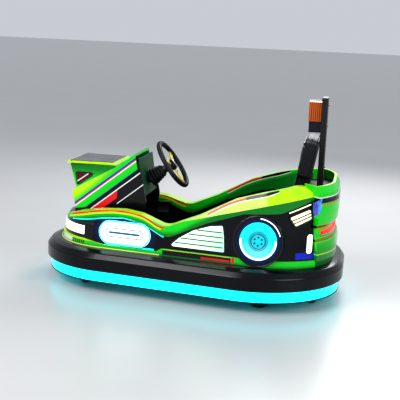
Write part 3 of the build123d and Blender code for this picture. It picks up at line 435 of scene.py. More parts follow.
def rear_green():
    """Painted ABS moulding of the rear: green tiers with lines round them, painted shade darker towards the
    foot, a painted reflection in blue and violet, and painted highlight in lime where it looks up.
    """
    f, c = Finish("painted_abs_rear"), colours()
    x, _, z = f.parts()
    # painted reflection: a cloudy blue and violet patch high on the rear's corners
    painted_reflection = (z + x * 0.8).between(-0.055, 0.020) * x.to("ramp", -0.722, -0.718)
    lines = ((0.566, 0.592, c.navy), (0.592, 0.597, c.white), (0.556, 0.561, c.red), (0.432, 0.446, c.navy),
             (0.360, 0.374, c.navy), (0.292, 0.297, c.lime))
    return f.moulded(f.paint(
        # painted shade: the rear starts in the darker green, which stays low down
        c.painted_shade_green,
        (z.to("ramp", 0.25, 0.42), c.green),
        (z.to("ramp", 0.45, 0.60), c.green),
        *((z.between(low, high), paint) for low, high, paint in lines),
        (painted_reflection, f.paint(c.glow, (f.clouds(30, 0.35, 0.65), "#6A3CE0"))),
        # painted highlight: lime where the rear looks up
        (f.looks()[2].to("ramp", 0.5, 0.8), c.lime),
    ))


def box_green():
    """Painted ABS moulding of the display box: green, darker towards its top as painted shade, with a lime
    rim.
    """
    f, c = Finish("painted_abs_box"), colours()
    z = f.parts()[2]
    # painted shade: darker green towards the box's top
    return f.moulded(f.paint(c.green, (z.to("ramp", 0.56, 0.64), c.painted_shade_green),
                             (z.to("ramp", 0.6585, 0.6595), c.lime)))


def cheek_black():
    """Black moulded cheeks of the cowl, with a red patch and white lines."""
    f, c = Finish("moulded_abs_cheek"), colours()
    x, over = f.parts()[0], f.over_cowl_edge()
    patches = ((-0.060, -0.026, 0.42, 0.58, c.red), (-0.026, -0.020, 0.24, 0.58, c.white),
               (-0.088, -0.083, 0.26, 0.42, c.white))
    return f.moulded(f.paint(c.navy, *((over.between(low, high) * x.between(rear, front), paint)
                                       for low, high, rear, front, paint in patches)))


def plain_gloss(name, paint, rough=0.2, coat=0.8):
    """Glossy moulded plastic of one colour, a little uneven in depth."""
    f = Finish(name)
    return f.moulded(f.paint(paint, (f.clouds(120, 0.3, 0.8), shade(paint, 0.75))), rough, coat)


def painted(name, paint):
    """Vinyl film or a painted trim strip: smooth, with a thin gloss."""
    return plain_gloss(name, paint, 0.25, 0.6)


def insert_navy():
    """Glossy navy ABS insert, with a painted blue glow round the lamps where their edges would light it from
    outside.
    """
    f, c = Finish("gloss_abs_insert"), colours()
    x, y, z = f.parts()
    stadium = away((x - STADIUM[0]).past(STADIUM_REACH), z - STADIUM[1])
    disc = away((x - DISC[0]).past(0.0), z - DISC[1])
    # painted light: a blue glow painted round the stadium and disc lamps, on faces that look outwards
    painted_halo = None
    for reach, near in ((stadium, STADIUM[3] / 2), (disc, DISC_R - 0.012)):
        glow = reach.to("ramp", near + 0.045, near)
        painted_halo = glow.to("larger", painted_halo) if painted_halo else glow
    painted_halo = painted_halo * (y * f.looks()[1]).to("ramp", 0.05, 0.15)
    return f.moulded(f.paint(c.navy, (painted_halo * 0.5, "#0A2C78")), 0.14, 0.3)


def textured_plastic(name, paint, grain_mm=1.6, rough=0.6):
    """Matt moulded plastic with a leather-like mould texture, paler where hands and shoes rub it."""
    f = Finish(name)
    worn = f.paint(paint, (f.clouds(70, 0.45, 0.75, 6.0, 0.7), shade(paint, 1.5, 0.01)))
    return f.done(worn, rough, f.grains("pebbles", grain_mm), 0.3, 0.5, IOR=1.5, Specular_IOR_Level=0.3)


def ring_rubber():
    """Moulded black rubber of the bumper: satin, scuffed grey along its widest line."""
    f = Finish("moulded_rubber_ring")
    z = f.parts()[2]
    widest = z.to("ramp", 0.128, 0.145) * z.to("ramp", 0.195, 0.175)
    scuff = f.clouds(26, 0.56, 0.72, 8.0, 0.75) * widest
    rough = f.paint((0.2, 0.2, 0.2, 1), (scuff, (0.5, 0.5, 0.5, 1)))
    return f.done(f.paint("#04050C", (scuff, "#1B1B22")), rough, f.grains("noise", 2.2, 3.0, 0.55), 0.25, 0.4,
                  IOR=1.5, Specular_IOR_Level=0.3)


def lit(name, light, strength, pattern=None):
    """A lit plastic lens: an even light, a little cloudy, or one with the pattern of its lamp."""
    f = Finish(name)
    glow = f.paint(light, (f.clouds(45, 0.2, 0.9), shade(light, 0.86)))
    return f.done(light, 0.2, emission=pattern(f, glow) if pattern else glow, Emission_Strength=strength,
                  IOR=1.49)


def stadium_light(f, glow):
    """White in the middle of the stadium lamp, cyan towards its edge."""
    x, _, z = f.parts()
    reach = away((x - STADIUM[0]).past(STADIUM_REACH), abs(z - STADIUM[1]))
    return f.paint(glow, (reach.to("ramp", 0.046, 0.066), "#3CE8FF"))


def disc_light(f, glow):
    """Teal in the middle of the wheel lamp, brighter cyan towards its rim and its foot."""
    x, _, z = f.parts()
    rise = z - DISC[1]
    reach = away(x - DISC[0], rise)
    return f.paint("#009CAE", (reach.to("ramp", 0.035, 0.090), "#12E0F0"),
                   (rise.to("ramp", 0.02, -0.10) * 0.55, "#B8FFFF"))


def grille_light(f, glow):
    """Bright at the grille lamp's apex, greener towards its lower rear corner."""
    x, _, z = f.parts()
    return f.paint("#F4FFF0", ((x + z * 0.6).to("ramp", 0.16, -0.06), "#7CF0B0"))


def steel(name, paint, rough=0.4, metallic=1.0):
    """Plated steel, or painted steel with metallic 0: fine scratches that break up its highlights."""
    f = Finish(name)
    lines = f.grains("noise", 4.0, 5.0, 0.7)
    tint = f.paint(paint, (f.clouds(50, 0.3, 0.8), shade(paint, 0.7)))
    spread = lines.to("even ramp", 0.3, 0.7, rough - 0.1, rough + 0.12)
    return f.done(tint, spread, lines, 0.1, 0.3, Metallic=metallic)


def seat_vinyl():
    """Black seat vinyl: pebbled grain over soft folds, with a faint sheen."""
    f, c = Finish("seat_vinyl"), colours()
    folds = f.grains("noise", 40, 4.0, 0.55)
    base = f.paint(c.vinyl, (folds.to("ramp", 0.3, 0.75), shade(c.vinyl, 1.7)))
    height = f.grains("pebbles", PEBBLE_MM) + folds * 2.0
    return f.done(base, folds.to("even ramp", 0.3, 0.7, 0.44, 0.58), height, 0.4, 0.3, Sheen_Weight=0.05,
                  Specular_IOR_Level=0.22, IOR=1.48)


def wheel_finish():
    """The steering wheel: black soft grip, and yellow painted spokes round a black hub."""
    f = Finish("soft_grip_and_painted_spokes")
    spokes = f.place.to("distance", tuple(SPOTS["steering_turn"])).between(0.036, 0.121)
    return f.done(f.paint("#0B0B0D", (spokes, "#D8C400")), 0.5, f.grains("noise", 2.5, 3.0, 0.55), 0.3, 0.5,
                  IOR=1.5)


def tyre_rubber():
    """Solid rubber of the wheels: shallow grooves round the tread, dusty where it rolls."""
    f = Finish("solid_rubber_tyre")
    groove = (f.parts()[1] * (2 * math.pi / GROOVE_PITCH)).to("sine").to("ramp", 0.55, 0.9)
    return f.done(f.paint("#0E0E0F", (f.clouds(30, 0.4, 0.7, 6.0, 0.7), "#2A2826")), 0.78,
                  f.grains("noise", 3, 3.0, 0.55) * 0.3 - groove, 1.2, 0.8, IOR=1.52)


def side_turn(ends):
    """Direction of the straight side's normal, from +X, for circles centred at these two stations."""
    span = math.hypot(ends[0] - ends[1], TAIL_Y)
    return math.acos((TAIL_R - NOSE_R) / span) - math.atan2(TAIL_Y, ends[0] - ends[1])


def half_width(x, inset, ends=BODY_ENDS):
    """Half of the plan's width at station x, drawn in by inset."""
    nose, tail, turn = NOSE_R - inset, TAIL_R - inset, side_turn(ends)
    if x > ends[0] + nose * math.cos(turn):
        return math.sqrt(max(0.0, nose ** 2 - (x - ends[0]) ** 2))
    if x < ends[1] + tail * math.cos(turn):
        return TAIL_Y + math.sqrt(max(0.0, tail ** 2 - (x - ends[1]) ** 2))
    return nose * math.sin(turn) + (ends[0] + nose * math.cos(turn) - x) / math.tan(turn)


def wall_point(x, z, proud=0.0, side=1):
    """The point of the left or right body wall at station x and height z."""
    return Vector((x, side * half_width(x, WALL_FOOT_INSET + (z - WALL_FOOT) * WALL_LEAN - proud), z))


def wall_frame(x, z, side):
    """Frame on the wall: x runs rearwards (on the right side forwards), y up the wall and z outwards."""
    step = 0.002
    along = (wall_point(x - step, z, side=side) - wall_point(x + step, z, side=side)).normalized() * side
    rise = (wall_point(x, z + step, side=side) - wall_point(x, z - step, side=side)).normalized()
    out = along.cross(rise).normalized()
    if out.y * side < 0:
        out.negate()
    turn = Matrix((along, out.cross(along), out)).transposed().to_4x4()
    return Matrix.Translation(wall_point(x, z, side=side)) @ turn


def loop(inset, z, ends=BODY_ENDS, rear_x=None):
    """Points round the plan at height z: a closed loop, or from rear_x round the nose to rear_x again."""
    nose, tail, turn = NOSE_R - inset, TAIL_R - inset, side_turn(ends)
    half = [(ends[0] + nose * math.cos(turn * i / 20), nose * math.sin(turn * i / 20)) for i in range(21)]
    if rear_x is None:
        angles = [turn + (math.pi - turn) * i / 24 for i in range(25)]
        half += [(ends[1] + tail * math.cos(a), TAIL_Y + tail * math.sin(a)) for a in angles]
    else:
        last = half[-1][0]
        steps = max(2, int((last - rear_x) / 0.04))
        stations = [last + (rear_x - last) * i / steps for i in range(1, steps + 1)]
        half += [(x, half_width(x, inset, ends)) for x in stations]
    left = [Vector((x, y, z)) for x, y in half]
    right = [Vector((x, -y, z)) for x, y in half]
    return left + right[::-1][:-1] if rear_x is None else left[::-1] + right[1:]


def height_at(points, x, blur=0.02):
    """Height of a body line at x, its corners rounded."""
    ordered = sorted(points)

    def straight(at):
        for (x0, z0), (x1, z1) in zip(ordered, ordered[1:]):
            if at <= x1 or (x1, z1) == ordered[-1]:
                return z0 + (z1 - z0) * (at - x0) / (x1 - x0)

    return sum(straight(x + blur * k) for k in (-1, -0.5, 0, 0.5, 1)) / 5


def body_line(start, stop, step, points, shift=0.0):
    """Stations, given in millimetres, with the heights of a body line moved by shift."""
    return [(x / 1000, height_at(points, x / 1000) + shift) for x in range(start, stop, step)]


def circle(radius, count, start=0.0):
    """Points round a circle."""
    angles = [start + 2 * math.pi * i / count for i in range(count)]
    return [(radius * math.cos(a), radius * math.sin(a)) for a in angles]


def slot_outline(x, z, length, height, grow=0.0, steps=12):
    """Side-view outline of a slot with round ends."""
    radius = min(length, height) / 2
    reach = abs(length - height) / 2
    points = []
    for end, start in ((1, -90), (-1, 90)):
        for i in range(steps + 1):
            a = math.radians(start + 180 * i / steps)
            along, across = end * reach + (radius + grow) * math.cos(a), (radius + grow) * math.sin(a)
            points.append((x + along, z + across) if length > height else (x - across, z + along))
    return points


def polygon_outline(corners, grow=0.0, radius=0.007, steps=4):
    """Side-view outline of a polygon with rounded corners, moved out by grow."""
    count = len(corners)
    area = sum(a[0] * b[1] - b[0] * a[1] for a, b in zip(corners, corners[1:] + corners[:1]))
    turned = 1 if area > 0 else -1
    points = []
    for i in range(count):
        here, before, after = (Vector(corners[k % count]) for k in (i, i - 1, i + 1))
        into, away_from = (here - before).normalized(), (after - here).normalized()
        normals = [turned * Vector((d.y, -d.x)) for d in (into, away_from)]
        bend = math.atan2(into.x * away_from.y - into.y * away_from.x, into.dot(away_from))
        convex = bend * turned > 0
        reach = radius * math.tan(abs(bend) / 2)
        centre = here - into * reach - normals[0] * radius
        for k in range(steps + 1):
            normal = normals[0].lerp(normals[1], k / steps).normalized()
            points.append(tuple(centre + normal * (radius + grow) if convex else here + normal * grow))
    return points


def oblong(u0, u1, z0, z1, radius=0.004):
    return polygon_outline([(u0, z0), (u1, z0), (u1, z1), (u0, z1)], radius=radius)


def cuts(outline, z):
    """Where an outline crosses a height."""
    pairs = zip(outline, outline[1:] + outline[:1])
    return [u0 + (u1 - u0) * (z - z0) / (z1 - z0) for (u0, z0), (u1, z1) in pairs if (z0 > z) != (z1 > z)]


def dense(outline, step, least=1):
    """More points along a closed outline."""
    found = []
    for (u0, v0), (u1, v1) in zip(outline, outline[1:] + outline[:1]):
        count = max(least, round(math.hypot(u1 - u0, v1 - v0) / step))
        found += [(u0 + (u1 - u0) * i / count, v0 + (v1 - v0) * i / count) for i in range(count)]
    return found


def surface(place, u, z, proud=0.0):
    """A point off a surface, and the surface's outward normal there."""
    step = 0.001
    across, rise = place(u + step, z) - place(u - step, z), place(u, z + step) - place(u, z - step)
    out, at = across.cross(rise).normalized(), place(u, z)
    if out.x * at.x + out.y * at.y < -1e-6 or out.z < -0.9:
        out.negate()
    return at + out * proud, out


def wall(side, proud=0.0):
    """The left or right body wall as a surface over station and height."""
    return lambda x, z: wall_point(x, z, proud, side)


def nose_wall(run, z):
    """The nose of the body as a surface over the run from its middle, at the light bars, and height."""
    radius, turn = NOSE_R - WALL_FOOT_INSET - (z - WALL_FOOT) * WALL_LEAN, run / NOSE_BAR_R
    return Vector((BODY_ENDS[0] + radius * math.cos(turn), radius * math.sin(turn), z))


def path_frames(spots, closed):
    """Frames along a path of points with normals: x across it, y along the normal, z along the path."""
    frames = []
    for i, (here, up) in enumerate(spots):
        before = spots[i - 1][0] if closed or i else here
        after = spots[(i + 1) % len(spots)][0] if closed or i < len(spots) - 1 else here
        along = (after - before).normalized()
        across = along.cross(up).normalized()
        turn = Matrix((across, across.cross(along) * -1, along)).transposed().to_4x4()
        frames.append(Matrix.Translation(here) @ turn)
    return frames


def skin(bm, rings, closed, slot):
    """Faces between rings of as many points each; where a ring is one point, they are triangles."""
    for a, b in zip(rings, rings[1:] + rings[:1] if closed else rings[1:]):
        for i in range(len(a)):
            k = (i + 1) % len(a)
            corners = list(dict.fromkeys((a[i], a[k], b[k], b[i])))
            if len(corners) > 2:
                bm.faces.new(corners).material_index = slot


def sweep(bm, frames, section, closed=False, slot=0):
    """A skin through the section at each frame, closed in a loop or capped at both ends."""
    rings = [[bm.verts.new(at @ Vector((u, v, 0))) for u, v in section] for at in frames]
    skin(bm, rings, closed, slot)
    if not closed:
        for end in (rings[0], rings[-1]):
            bm.faces.new(end).material_index = slot


def lathe(bm, at, profile, steps=40, slot=0, closed=False):
    """Turn a profile of (radius, height) about a frame's z axis; a closed profile makes a ring."""
    rings = []
    for radius, height in profile:
        if radius < 1e-6:
            rings.append([bm.verts.new(at @ Vector((0, 0, height)))] * steps)
        else:
            rings.append([bm.verts.new(at @ Vector((u, v, height))) for u, v in circle(radius, steps)])
    skin(bm, rings, closed, slot)


def bead_section(width, height, steps=6):
    """Section of a bead: its foot sunk a little, its top rounded."""
    arc = [math.pi * i / steps for i in range(steps + 1)]
    half = width / 2
    top = [(half * math.cos(a), height * math.sin(a) ** 0.6) for a in arc[1:-1]]
    return [(-half, -0.0012), (half, -0.0012), (half, height * 0.3), *top, (-half, height * 0.3)]


def bead(bm, place, outline, width, height, proud=0.0, closed=True, slot=0):
    """A rounded bead along an outline on a surface."""
    spots = [surface(place, u, z, proud) for u, z in outline]
    sweep(bm, path_frames(spots, closed), bead_section(width, height), closed, slot)


def cord(points, radius, closed):
    """What fills a bmesh with a round cord through points of one height."""
    frames = path_frames([(p, UP) for p in points], closed)
    return lambda bm: sweep(bm, frames, circle(radius, 10), closed)


def plate(bm, place, outline, low, high, slot=0, step=0.02):
    """A plate that follows a surface inside an outline, from low to high off it."""
    outline = dense(outline, step * 0.5)
    us, zs = zip(*outline)
    grid = [(min(us) + step * (i + 0.5), min(zs) + step * (k + 0.5))
            for i in range(int((max(us) - min(us)) / step)) for k in range(int((max(zs) - min(zs)) / step))]
    held = [(u, z) for u, z in grid if sum(u < cut for cut in cuts(outline, z)) % 2]
    flat = [Vector(p) for p in outline + held]
    spots, _, faces = geometry.delaunay_2d_cdt(flat, [], [list(range(len(outline)))], 1, 1e-6)[:3]
    top, foot = ([bm.verts.new(surface(place, p.x, p.y, proud)[0]) for p in spots] for proud in (high, low))
    edges = {}
    for face in (f for f in faces if len(f) > 2):
        bm.faces.new([top[i] for i in face]).material_index = slot
        bm.faces.new([foot[i] for i in reversed(face)]).material_index = slot
        edges.update(dict.fromkeys(zip(face, face[1:] + face[:1])))
    for a, b in edges:
        if (b, a) not in edges:
            bm.faces.new((top[b], top[a], foot[a], foot[b])).material_index = slot


def shaped(name, build, materials):
    """A mesh from a function that fills a bmesh, its faces turned outwards and its edges kept crisp."""
    bm = bmesh.new()
    build(bm)
    bmesh.ops.recalc_face_normals(bm, faces=bm.faces)
    mesh = bpy.data.meshes.new(name)
    bm.to_mesh(mesh)
    bm.free()
    for material in materials:
        mesh.materials.append(material)
    mesh.shade_smooth()
    mesh.set_sharp_from_angle(angle=math.radians(38))
    return mesh


def seat_in_scene(name, mesh, body):
    """Link a mesh as a piece that rides on a body."""
    made = bpy.data.objects.new(name, mesh)
    bpy.context.scene.collection.objects.link(made)
    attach(made, body)
    return made


def piece(name, build, *materials, body="chassis"):
    """A piece of the scene, built in a bmesh, that rides on a body."""
    return seat_in_scene(name, shaped(name, build, materials), body)


def placing_tree():
    """Geometry Nodes: the unit on each point, turned by the point's own turn and a random spin, joined."""
    tree = bpy.data.node_groups.get("place_units")
    if tree:
        return tree
    tree = bpy.data.node_groups.new("place_units", "GeometryNodeTree")
    for label, kind in (("Points", "Geometry"), ("Unit", "Object"), ("Finish", "Material"), ("Spin", "Float"),
                        ("Seed", "Int")):
        tree.interface.new_socket(label, in_out="INPUT", socket_type="NodeSocket" + kind)
    tree.interface.new_socket("Piece", in_out="OUTPUT", socket_type="NodeSocketGeometry")
    given = add_node(tree, "NodeGroupInput").outputs
    unit = add_node(tree, "GeometryNodeObjectInfo", {"Object": given["Unit"]}).outputs["Geometry"]
    turn = add_node(tree, "GeometryNodeInputNamedAttribute", {"Name": "turn"}, data_type="FLOAT_VECTOR")
    turned = add_node(tree, "FunctionNodeEulerToRotation", {"Euler": turn.outputs["Attribute"]}).outputs[0]
    copies = add_node(tree, "GeometryNodeInstanceOnPoints",
                      {"Points": given["Points"], "Instance": unit, "Rotation": turned}).outputs[0]
    chance = add_node(tree, "FunctionNodeRandomValue", {3: given["Spin"], 8: given["Seed"]},
                      data_type="FLOAT")
    about = add_node(tree, "ShaderNodeCombineXYZ", {"Z": chance.outputs[1]}).outputs[0]
    spun = add_node(tree, "GeometryNodeRotateInstances", {"Instances": copies, "Rotation": about}).outputs[0]
    joined = add_node(tree, "GeometryNodeRealizeInstances", {0: spun}).outputs[0]
    ended = add_node(tree, "GeometryNodeSetMaterial", {"Geometry": joined, "Material": given["Finish"]})
    add_node(tree, "NodeGroupOutput", {"Piece": ended.outputs[0]})
    return tree


def repeat(name, build, places, material, body="chassis", spin=0.0):
    """Copies of a small unit at the given frames, made with Geometry Nodes, as one piece on a body."""
    unit = bpy.data.objects.new(name + "_unit", shaped(name + "_unit", build, [material]))
    points = bpy.data.meshes.new(name + "_points")
    points.from_pydata([p.translation for p in places], [], [])
    turn = points.attributes.new("turn", "FLOAT_VECTOR", "POINT")
    turn.data.foreach_set("vector", [v for p in places for v in p.to_euler()])
    host = bpy.data.objects.new(name + "_host", points)
    for entry in (unit, host):
        bpy.context.scene.collection.objects.link(entry)
    placing = host.modifiers.new("Place units", "NODES")
    placing.node_group = placing_tree()
    values = {"Unit": unit, "Finish": material, "Spin": spin, "Seed": 7}
    for item in placing.node_group.interface.items_tree:
        if item.in_out == "INPUT" and item.name in values:
            placing[item.identifier] = values[item.name]
    mesh = bpy.data.meshes.new_from_object(host.evaluated_get(bpy.context.evaluated_depsgraph_get()))
    mesh.name = name
    for entry in (unit, host):
        bpy.data.objects.remove(entry)
    return seat_in_scene(name, mesh, body)


def facing(at, out, up=UP):
    """Frame at a point whose z axis looks outwards and whose y axis is nearest to up."""
    out = Vector(out).normalized()
    across = Vector(up).cross(out)
    across = (across if across.length > 1e-4 else Vector((1, 0, 0))).normalized()
    return Matrix.Translation(at) @ Matrix((across, out.cross(across), out)).transposed().to_4x4()


def screw_head(radius, height):
    """A button head with a round socket."""
    def build(bm):
        lathe(bm, Matrix(), [(0, SUNK), (radius, SUNK), (radius, height * 0.5), (radius * 0.8, height),
                             (radius * 0.45, height), (radius * 0.4, height * 0.4), (0, height * 0.4)], 16)
    return build


def hex_head(radius, height):
    """A hexagon head on a washer."""
    def build(bm):
        washer, rim = radius * 1.35, height * 0.2
        lathe(bm, Matrix(), [(0, SUNK), (washer, SUNK), (washer, rim), (0, rim)], 18)
        lathe(bm, Matrix(), [(0, rim), (radius, rim), (radius, height * 0.85), (radius * 0.8, height),
                             (0, height)], 6)
    return build


def bar_unit(run, width, height):
    """A bar with a rounded top, along its frame's x axis."""
    def build(bm):
        turn = Matrix(((0, 0, 1, 0), (1, 0, 0, 0), (0, 1, 0, 0), (0, 0, 0, 1)))
        ends = [Matrix.Translation((d * run / 2, 0, 0)) @ turn for d in (-1, 1)]
        sweep(bm, ends, bead_section(width, height))
    return build


def paint_nodes(**finishes):
    """Give CAD nodes their finishes."""
    for name, material in finishes.items():
        mesh = NODES[name].data
        mesh.materials.clear()
        mesh.materials.append(material)


# Films and windows on the side walls: stations and heights, corner radius, thickness and finish.
# The first list lies on the body band, the second on the inserts
BAND_FILMS = ((-0.272, 0.104, 0.2335, 0.2585, 0.004, 0.0012, 0),
              (-0.268, 0.100, 0.2595, 0.2625, 0.0012, 0.0012, 1),
              (-0.292, -0.276, 0.2335, 0.2625, 0.004, 0.0012, 2),
              (-0.266, -0.110, 0.2360, 0.2470, 0.0015, 0.0020, 2),
              (0.648, 0.724, 0.237, 0.257, 0.004, 0.0012, 4))
INSERT_FILMS = ((-0.700, -0.604, 0.272, 0.306, 0.004, 0.0012, 3),)
VENT_X, VENT_Z, VENT_PITCH, VENTS = 0.566, 0.2455, 0.014, 6
PIPING_END_X = 0.12


class FinishBody(bpy.types.Operator):
    """Finish the body mouldings and lay their trim"""

    bl_idname = "kart.finish_body"
    bl_label = "Body"

    def execute(self, context):
        c = colours()
        coaming, navy = coaming_green(), insert_navy()
        paint_nodes(
            side_coaming_left=coaming, side_coaming_right=coaming, side_insert_left=navy,
            side_insert_right=navy, body_band=band_green(), rear_panel=rear_green(), cowl=cowl_green(),
            nose_deck=plain_gloss("gloss_abs_deck", "#08080C", 0.3, 0.6), cowl_base=cheek_black(),
            display_box=box_green(), dash_panel=textured_plastic("textured_abs_dash", "#0A4A2C"))
        films_of = {"black": "#060608", "yellow": "#E8E83A", "red": c.red, "blue": c.blue, "white": c.white}
        paints = [painted("vinyl_film_" + name, paint) for name, paint in films_of.items()]
        for name, side in SIDES:
            band, insert = wall(side, BAND_PROUD), wall(side)

            def films(bm):
                for place, patches in ((band, BAND_FILMS), (insert, INSERT_FILMS)):
                    for x0, x1, z0, z1, radius, thickness, slot in patches:
                        plate(bm, place, oblong(x0, x1, z0, z1, radius), SUNK, thickness, slot)

            piece(f"side_films_{name}", films, *paints)
            spots = [surface(band, VENT_X + VENT_PITCH * i, VENT_Z) for i in range(VENTS)]
            repeat(f"nose_vents_{name}", bar_unit(0.022, 0.007, 0.0018),
                   [facing(*spot) @ QUARTER_TURN for spot in spots], paints[0])
            seam = body_line(80, -660, -20, COAMING_BOTTOM, -0.003)
            piece(f"coaming_seam_{name}", lambda bm: bead(bm, insert, seam, 0.005, 0.004, closed=False),
                  paints[0])
        piping = loop(WALL_FOOT_INSET - BAND_PROUD - 0.003, WALL_FOOT + 0.002, rear_x=PIPING_END_X)
        piece("nose_piping", cord(piping, 0.0042, False), painted("moulded_pvc_piping", "#D6E878"))
        return {"FINISHED"}


# Cowl and box: screws by their share of the edge and their stations, the top plate and the window's line
EDGE_SCREWS = [0.06 + 0.88 * i / 5 for i in range(6)]
EDGE_SCREW_DROP = 0.004
BOX_SCREWS = (0.69, 0.58, 0.46)
BOX_SCREW_IN = 0.007
TOP_PLATE = [(0.700, -0.166), (0.700, 0.166), (0.455, 0.150), (0.455, -0.150)]
WINDOW_LINE = [(0.655, 0.556), (0.592, 0.602)]

# The number display: its number, segments as (across, up, flat) in halves and quarters, and the digits' sizes
SEGMENTS = {"a": (0, 2, 1), "g": (0, 0, 1), "d": (0, -2, 1), "b": (1, 1, 0), "c": (1, -1, 0), "f": (-1, 1, 0),
            "e": (-1, -1, 0)}
DIGITS = (("abcdef", -0.034), ("abc", 0.034))
DIGIT_H, DIGIT_W, SEGMENT_T = 0.074, 0.042, 0.009


class DressCowl(bpy.types.Operator):
    """Dress the cowl: its screws, the display box's top and windows, and the number display"""

    bl_idname = "kart.dress_cowl"
    bl_label = "Cowl"

    def execute(self, context):
        c = colours()
        low_end, high_end = (Vector((x, 0, z)) for x, z in COWL_EDGE)
        along = (high_end - low_end).normalized()
        drop = Vector((-along.z, 0, along.x)) * EDGE_SCREW_DROP
        (front_x, front_y), (rear_x, rear_y) = BOX_PLAN
        places = []
        for side in (-1, 1):
            out = Vector((0, side, 0))
            places += [facing(low_end.lerp(high_end, t) + drop + out * COWL_HALF, out) for t in EDGE_SCREWS]
            for x in BOX_SCREWS:
                half = rear_y + (front_y - rear_y) * (x - rear_x) / (front_x - rear_x) - BOX_SCREW_IN
                places.append(facing((x, side * half, BOX_TOP), UP))
        repeat("cowl_screws", screw_head(*SCREW), places, steel("zinc_plated_screw", "#9EA2A8", 0.35),
               spin=SCREW_SPIN)

        def top(bm):
            inner = polygon_outline(TOP_PLATE, radius=0.010)
            plate(bm, lambda x, y: Vector((x, y, BOX_TOP)), inner, SUNK, 0.003)
            bead(bm, lambda x, y: Vector((x, y, BOX_TOP)), inner, 0.004, 0.0045, slot=1)

        piece("box_top_plate", top, plain_gloss("gloss_acrylic_top", "#06081C", 0.15, 0.2),
              painted("moulded_trim_lime", c.lime))

        def windows(bm):
            for side in (-1, 1):
                def cheek(x, z):
                    return Vector((x, side * BOX_HALF, z))

                plate(bm, cheek, polygon_outline(BOX_WINDOW, -0.0004, radius=0.004), -0.006, -0.002)
                bead(bm, cheek, WINDOW_LINE, 0.006, 0.0012, -0.002, False, 1)
                bead(bm, cheek, polygon_outline(BOX_WINDOW, 0.003), 0.005, 0.0025, slot=2)

        piece("box_windows", windows, plain_gloss("tinted_acrylic_window", "#5A0614", 0.06, 0.3),
              painted("vinyl_film_line", c.white), painted("moulded_trim_black", "#08080A"))
        top_edge, foot_edge = (Vector((x, 0, z)) for x, z in BOX_FACE_LINE)

        def face(u, v):
            return (top_edge + foot_edge) / 2 + Vector((0, u, 0)) + (top_edge - foot_edge).normalized() * v

        def digits(bm):
            for shown, centre in DIGITS:
                for name, (across, up, flat) in SEGMENTS.items():
                    half_u = (DIGIT_W - SEGMENT_T if flat else SEGMENT_T) / 2
                    half_v = (SEGMENT_T if flat else DIGIT_H / 2 - SEGMENT_T * 0.4) / 2
                    u, v = centre + across * DIGIT_W / 2, up * DIGIT_H / 4
                    outline = oblong(u - half_u, u + half_u, v - half_v, v + half_v, 0.003)
                    slot = 0 if name in shown else 1
                    plate(bm, face, outline, -DISPLAY_SET - 0.0005, -DISPLAY_SET + 0.001, slot)

        piece("display_digits", digits, lit("lit_led_digits", c.digits, 2.2),
              plain_gloss("unlit_led_segment", "#2A0A0A", 0.2, 0.6))
        half_u, half_v = (size / 2 + 0.004 for size in DISPLAY)
        rim = oblong(-half_u, half_u, -half_v, half_v, 0.008)
        piece("display_bezel", lambda bm: bead(bm, face, rim, 0.009, 0.004),
              plain_gloss("gloss_abs_bezel", "#0A0A0C"))
        return {"FINISHED"}


class FinishBumper(bpy.types.Operator):
    """Finish the bumper ring and the skirt"""

    bl_idname = "kart.finish_bumper"
    bl_label = "Bumper"

    def execute(self, context):
        paint_nodes(bumper_ring=ring_rubber(),
                    glow_skirt=lit("lit_polycarbonate_skirt", colours().glow, 1.35))
        places = [facing(p, (0, 0, -1), (1, 0, 0)) for p in loop(0.060, 0.120, RING_ENDS)[::3]]
        repeat("ring_bolts", hex_head(0.008, 0.006), places, steel("zinc_plated_bolt", "#8E9298"))
        piece("skirt_lip", cord(loop(0.024, 0.0605, RING_ENDS), 0.0035, True),
              textured_plastic("rubber_skirt_lip", "#101114"))
        return {"FINISHED"}


# Trim of the lamps: the slots of its finishes; rings of the stadium lamp as grow and width, and of the disc
# as outer radius and width; profiles as radius and height; arcs as radius, start, sweep, height, width, slot
BLACK, CYAN, LINE, WHITE, HOLE, WARM, TEAL, GREEN = range(8)
STADIUM_RINGS = ((-0.022, 0.0040), (-0.041, 0.0050))
GRILLE_LINES = (0.305, 0.331, 0.357, 0.383)
LAMP_BACK = (-0.0215, -0.0165)
DISC_RINGS = ((0.078, 0.0016), (0.050, 0.0030), (0.044, 0.0016))
DISC_HUB = [(0, DISC_HUB_FLOOR - 0.001), (0.0335, DISC_HUB_FLOOR - 0.001), (0.0335, 0.0095), (0.031, 0.0115),
            (0.012, 0.0115), (0.010, 0.014), (0, 0.014)]
HUB_HOLE = [(0, -0.001), (0.0055, -0.001), (0.0055, 0.0008), (0.0045, 0.0012), (0, 0.0012)]
DISC_ARCS = ((0.0925, 175, 190, DISC_FACE, 0.009, WHITE), (0.0925, 8, 164, DISC_FACE, 0.004, CYAN),
             (0.1185, 18, 70, ARCH_FACE, 0.0045, WHITE))


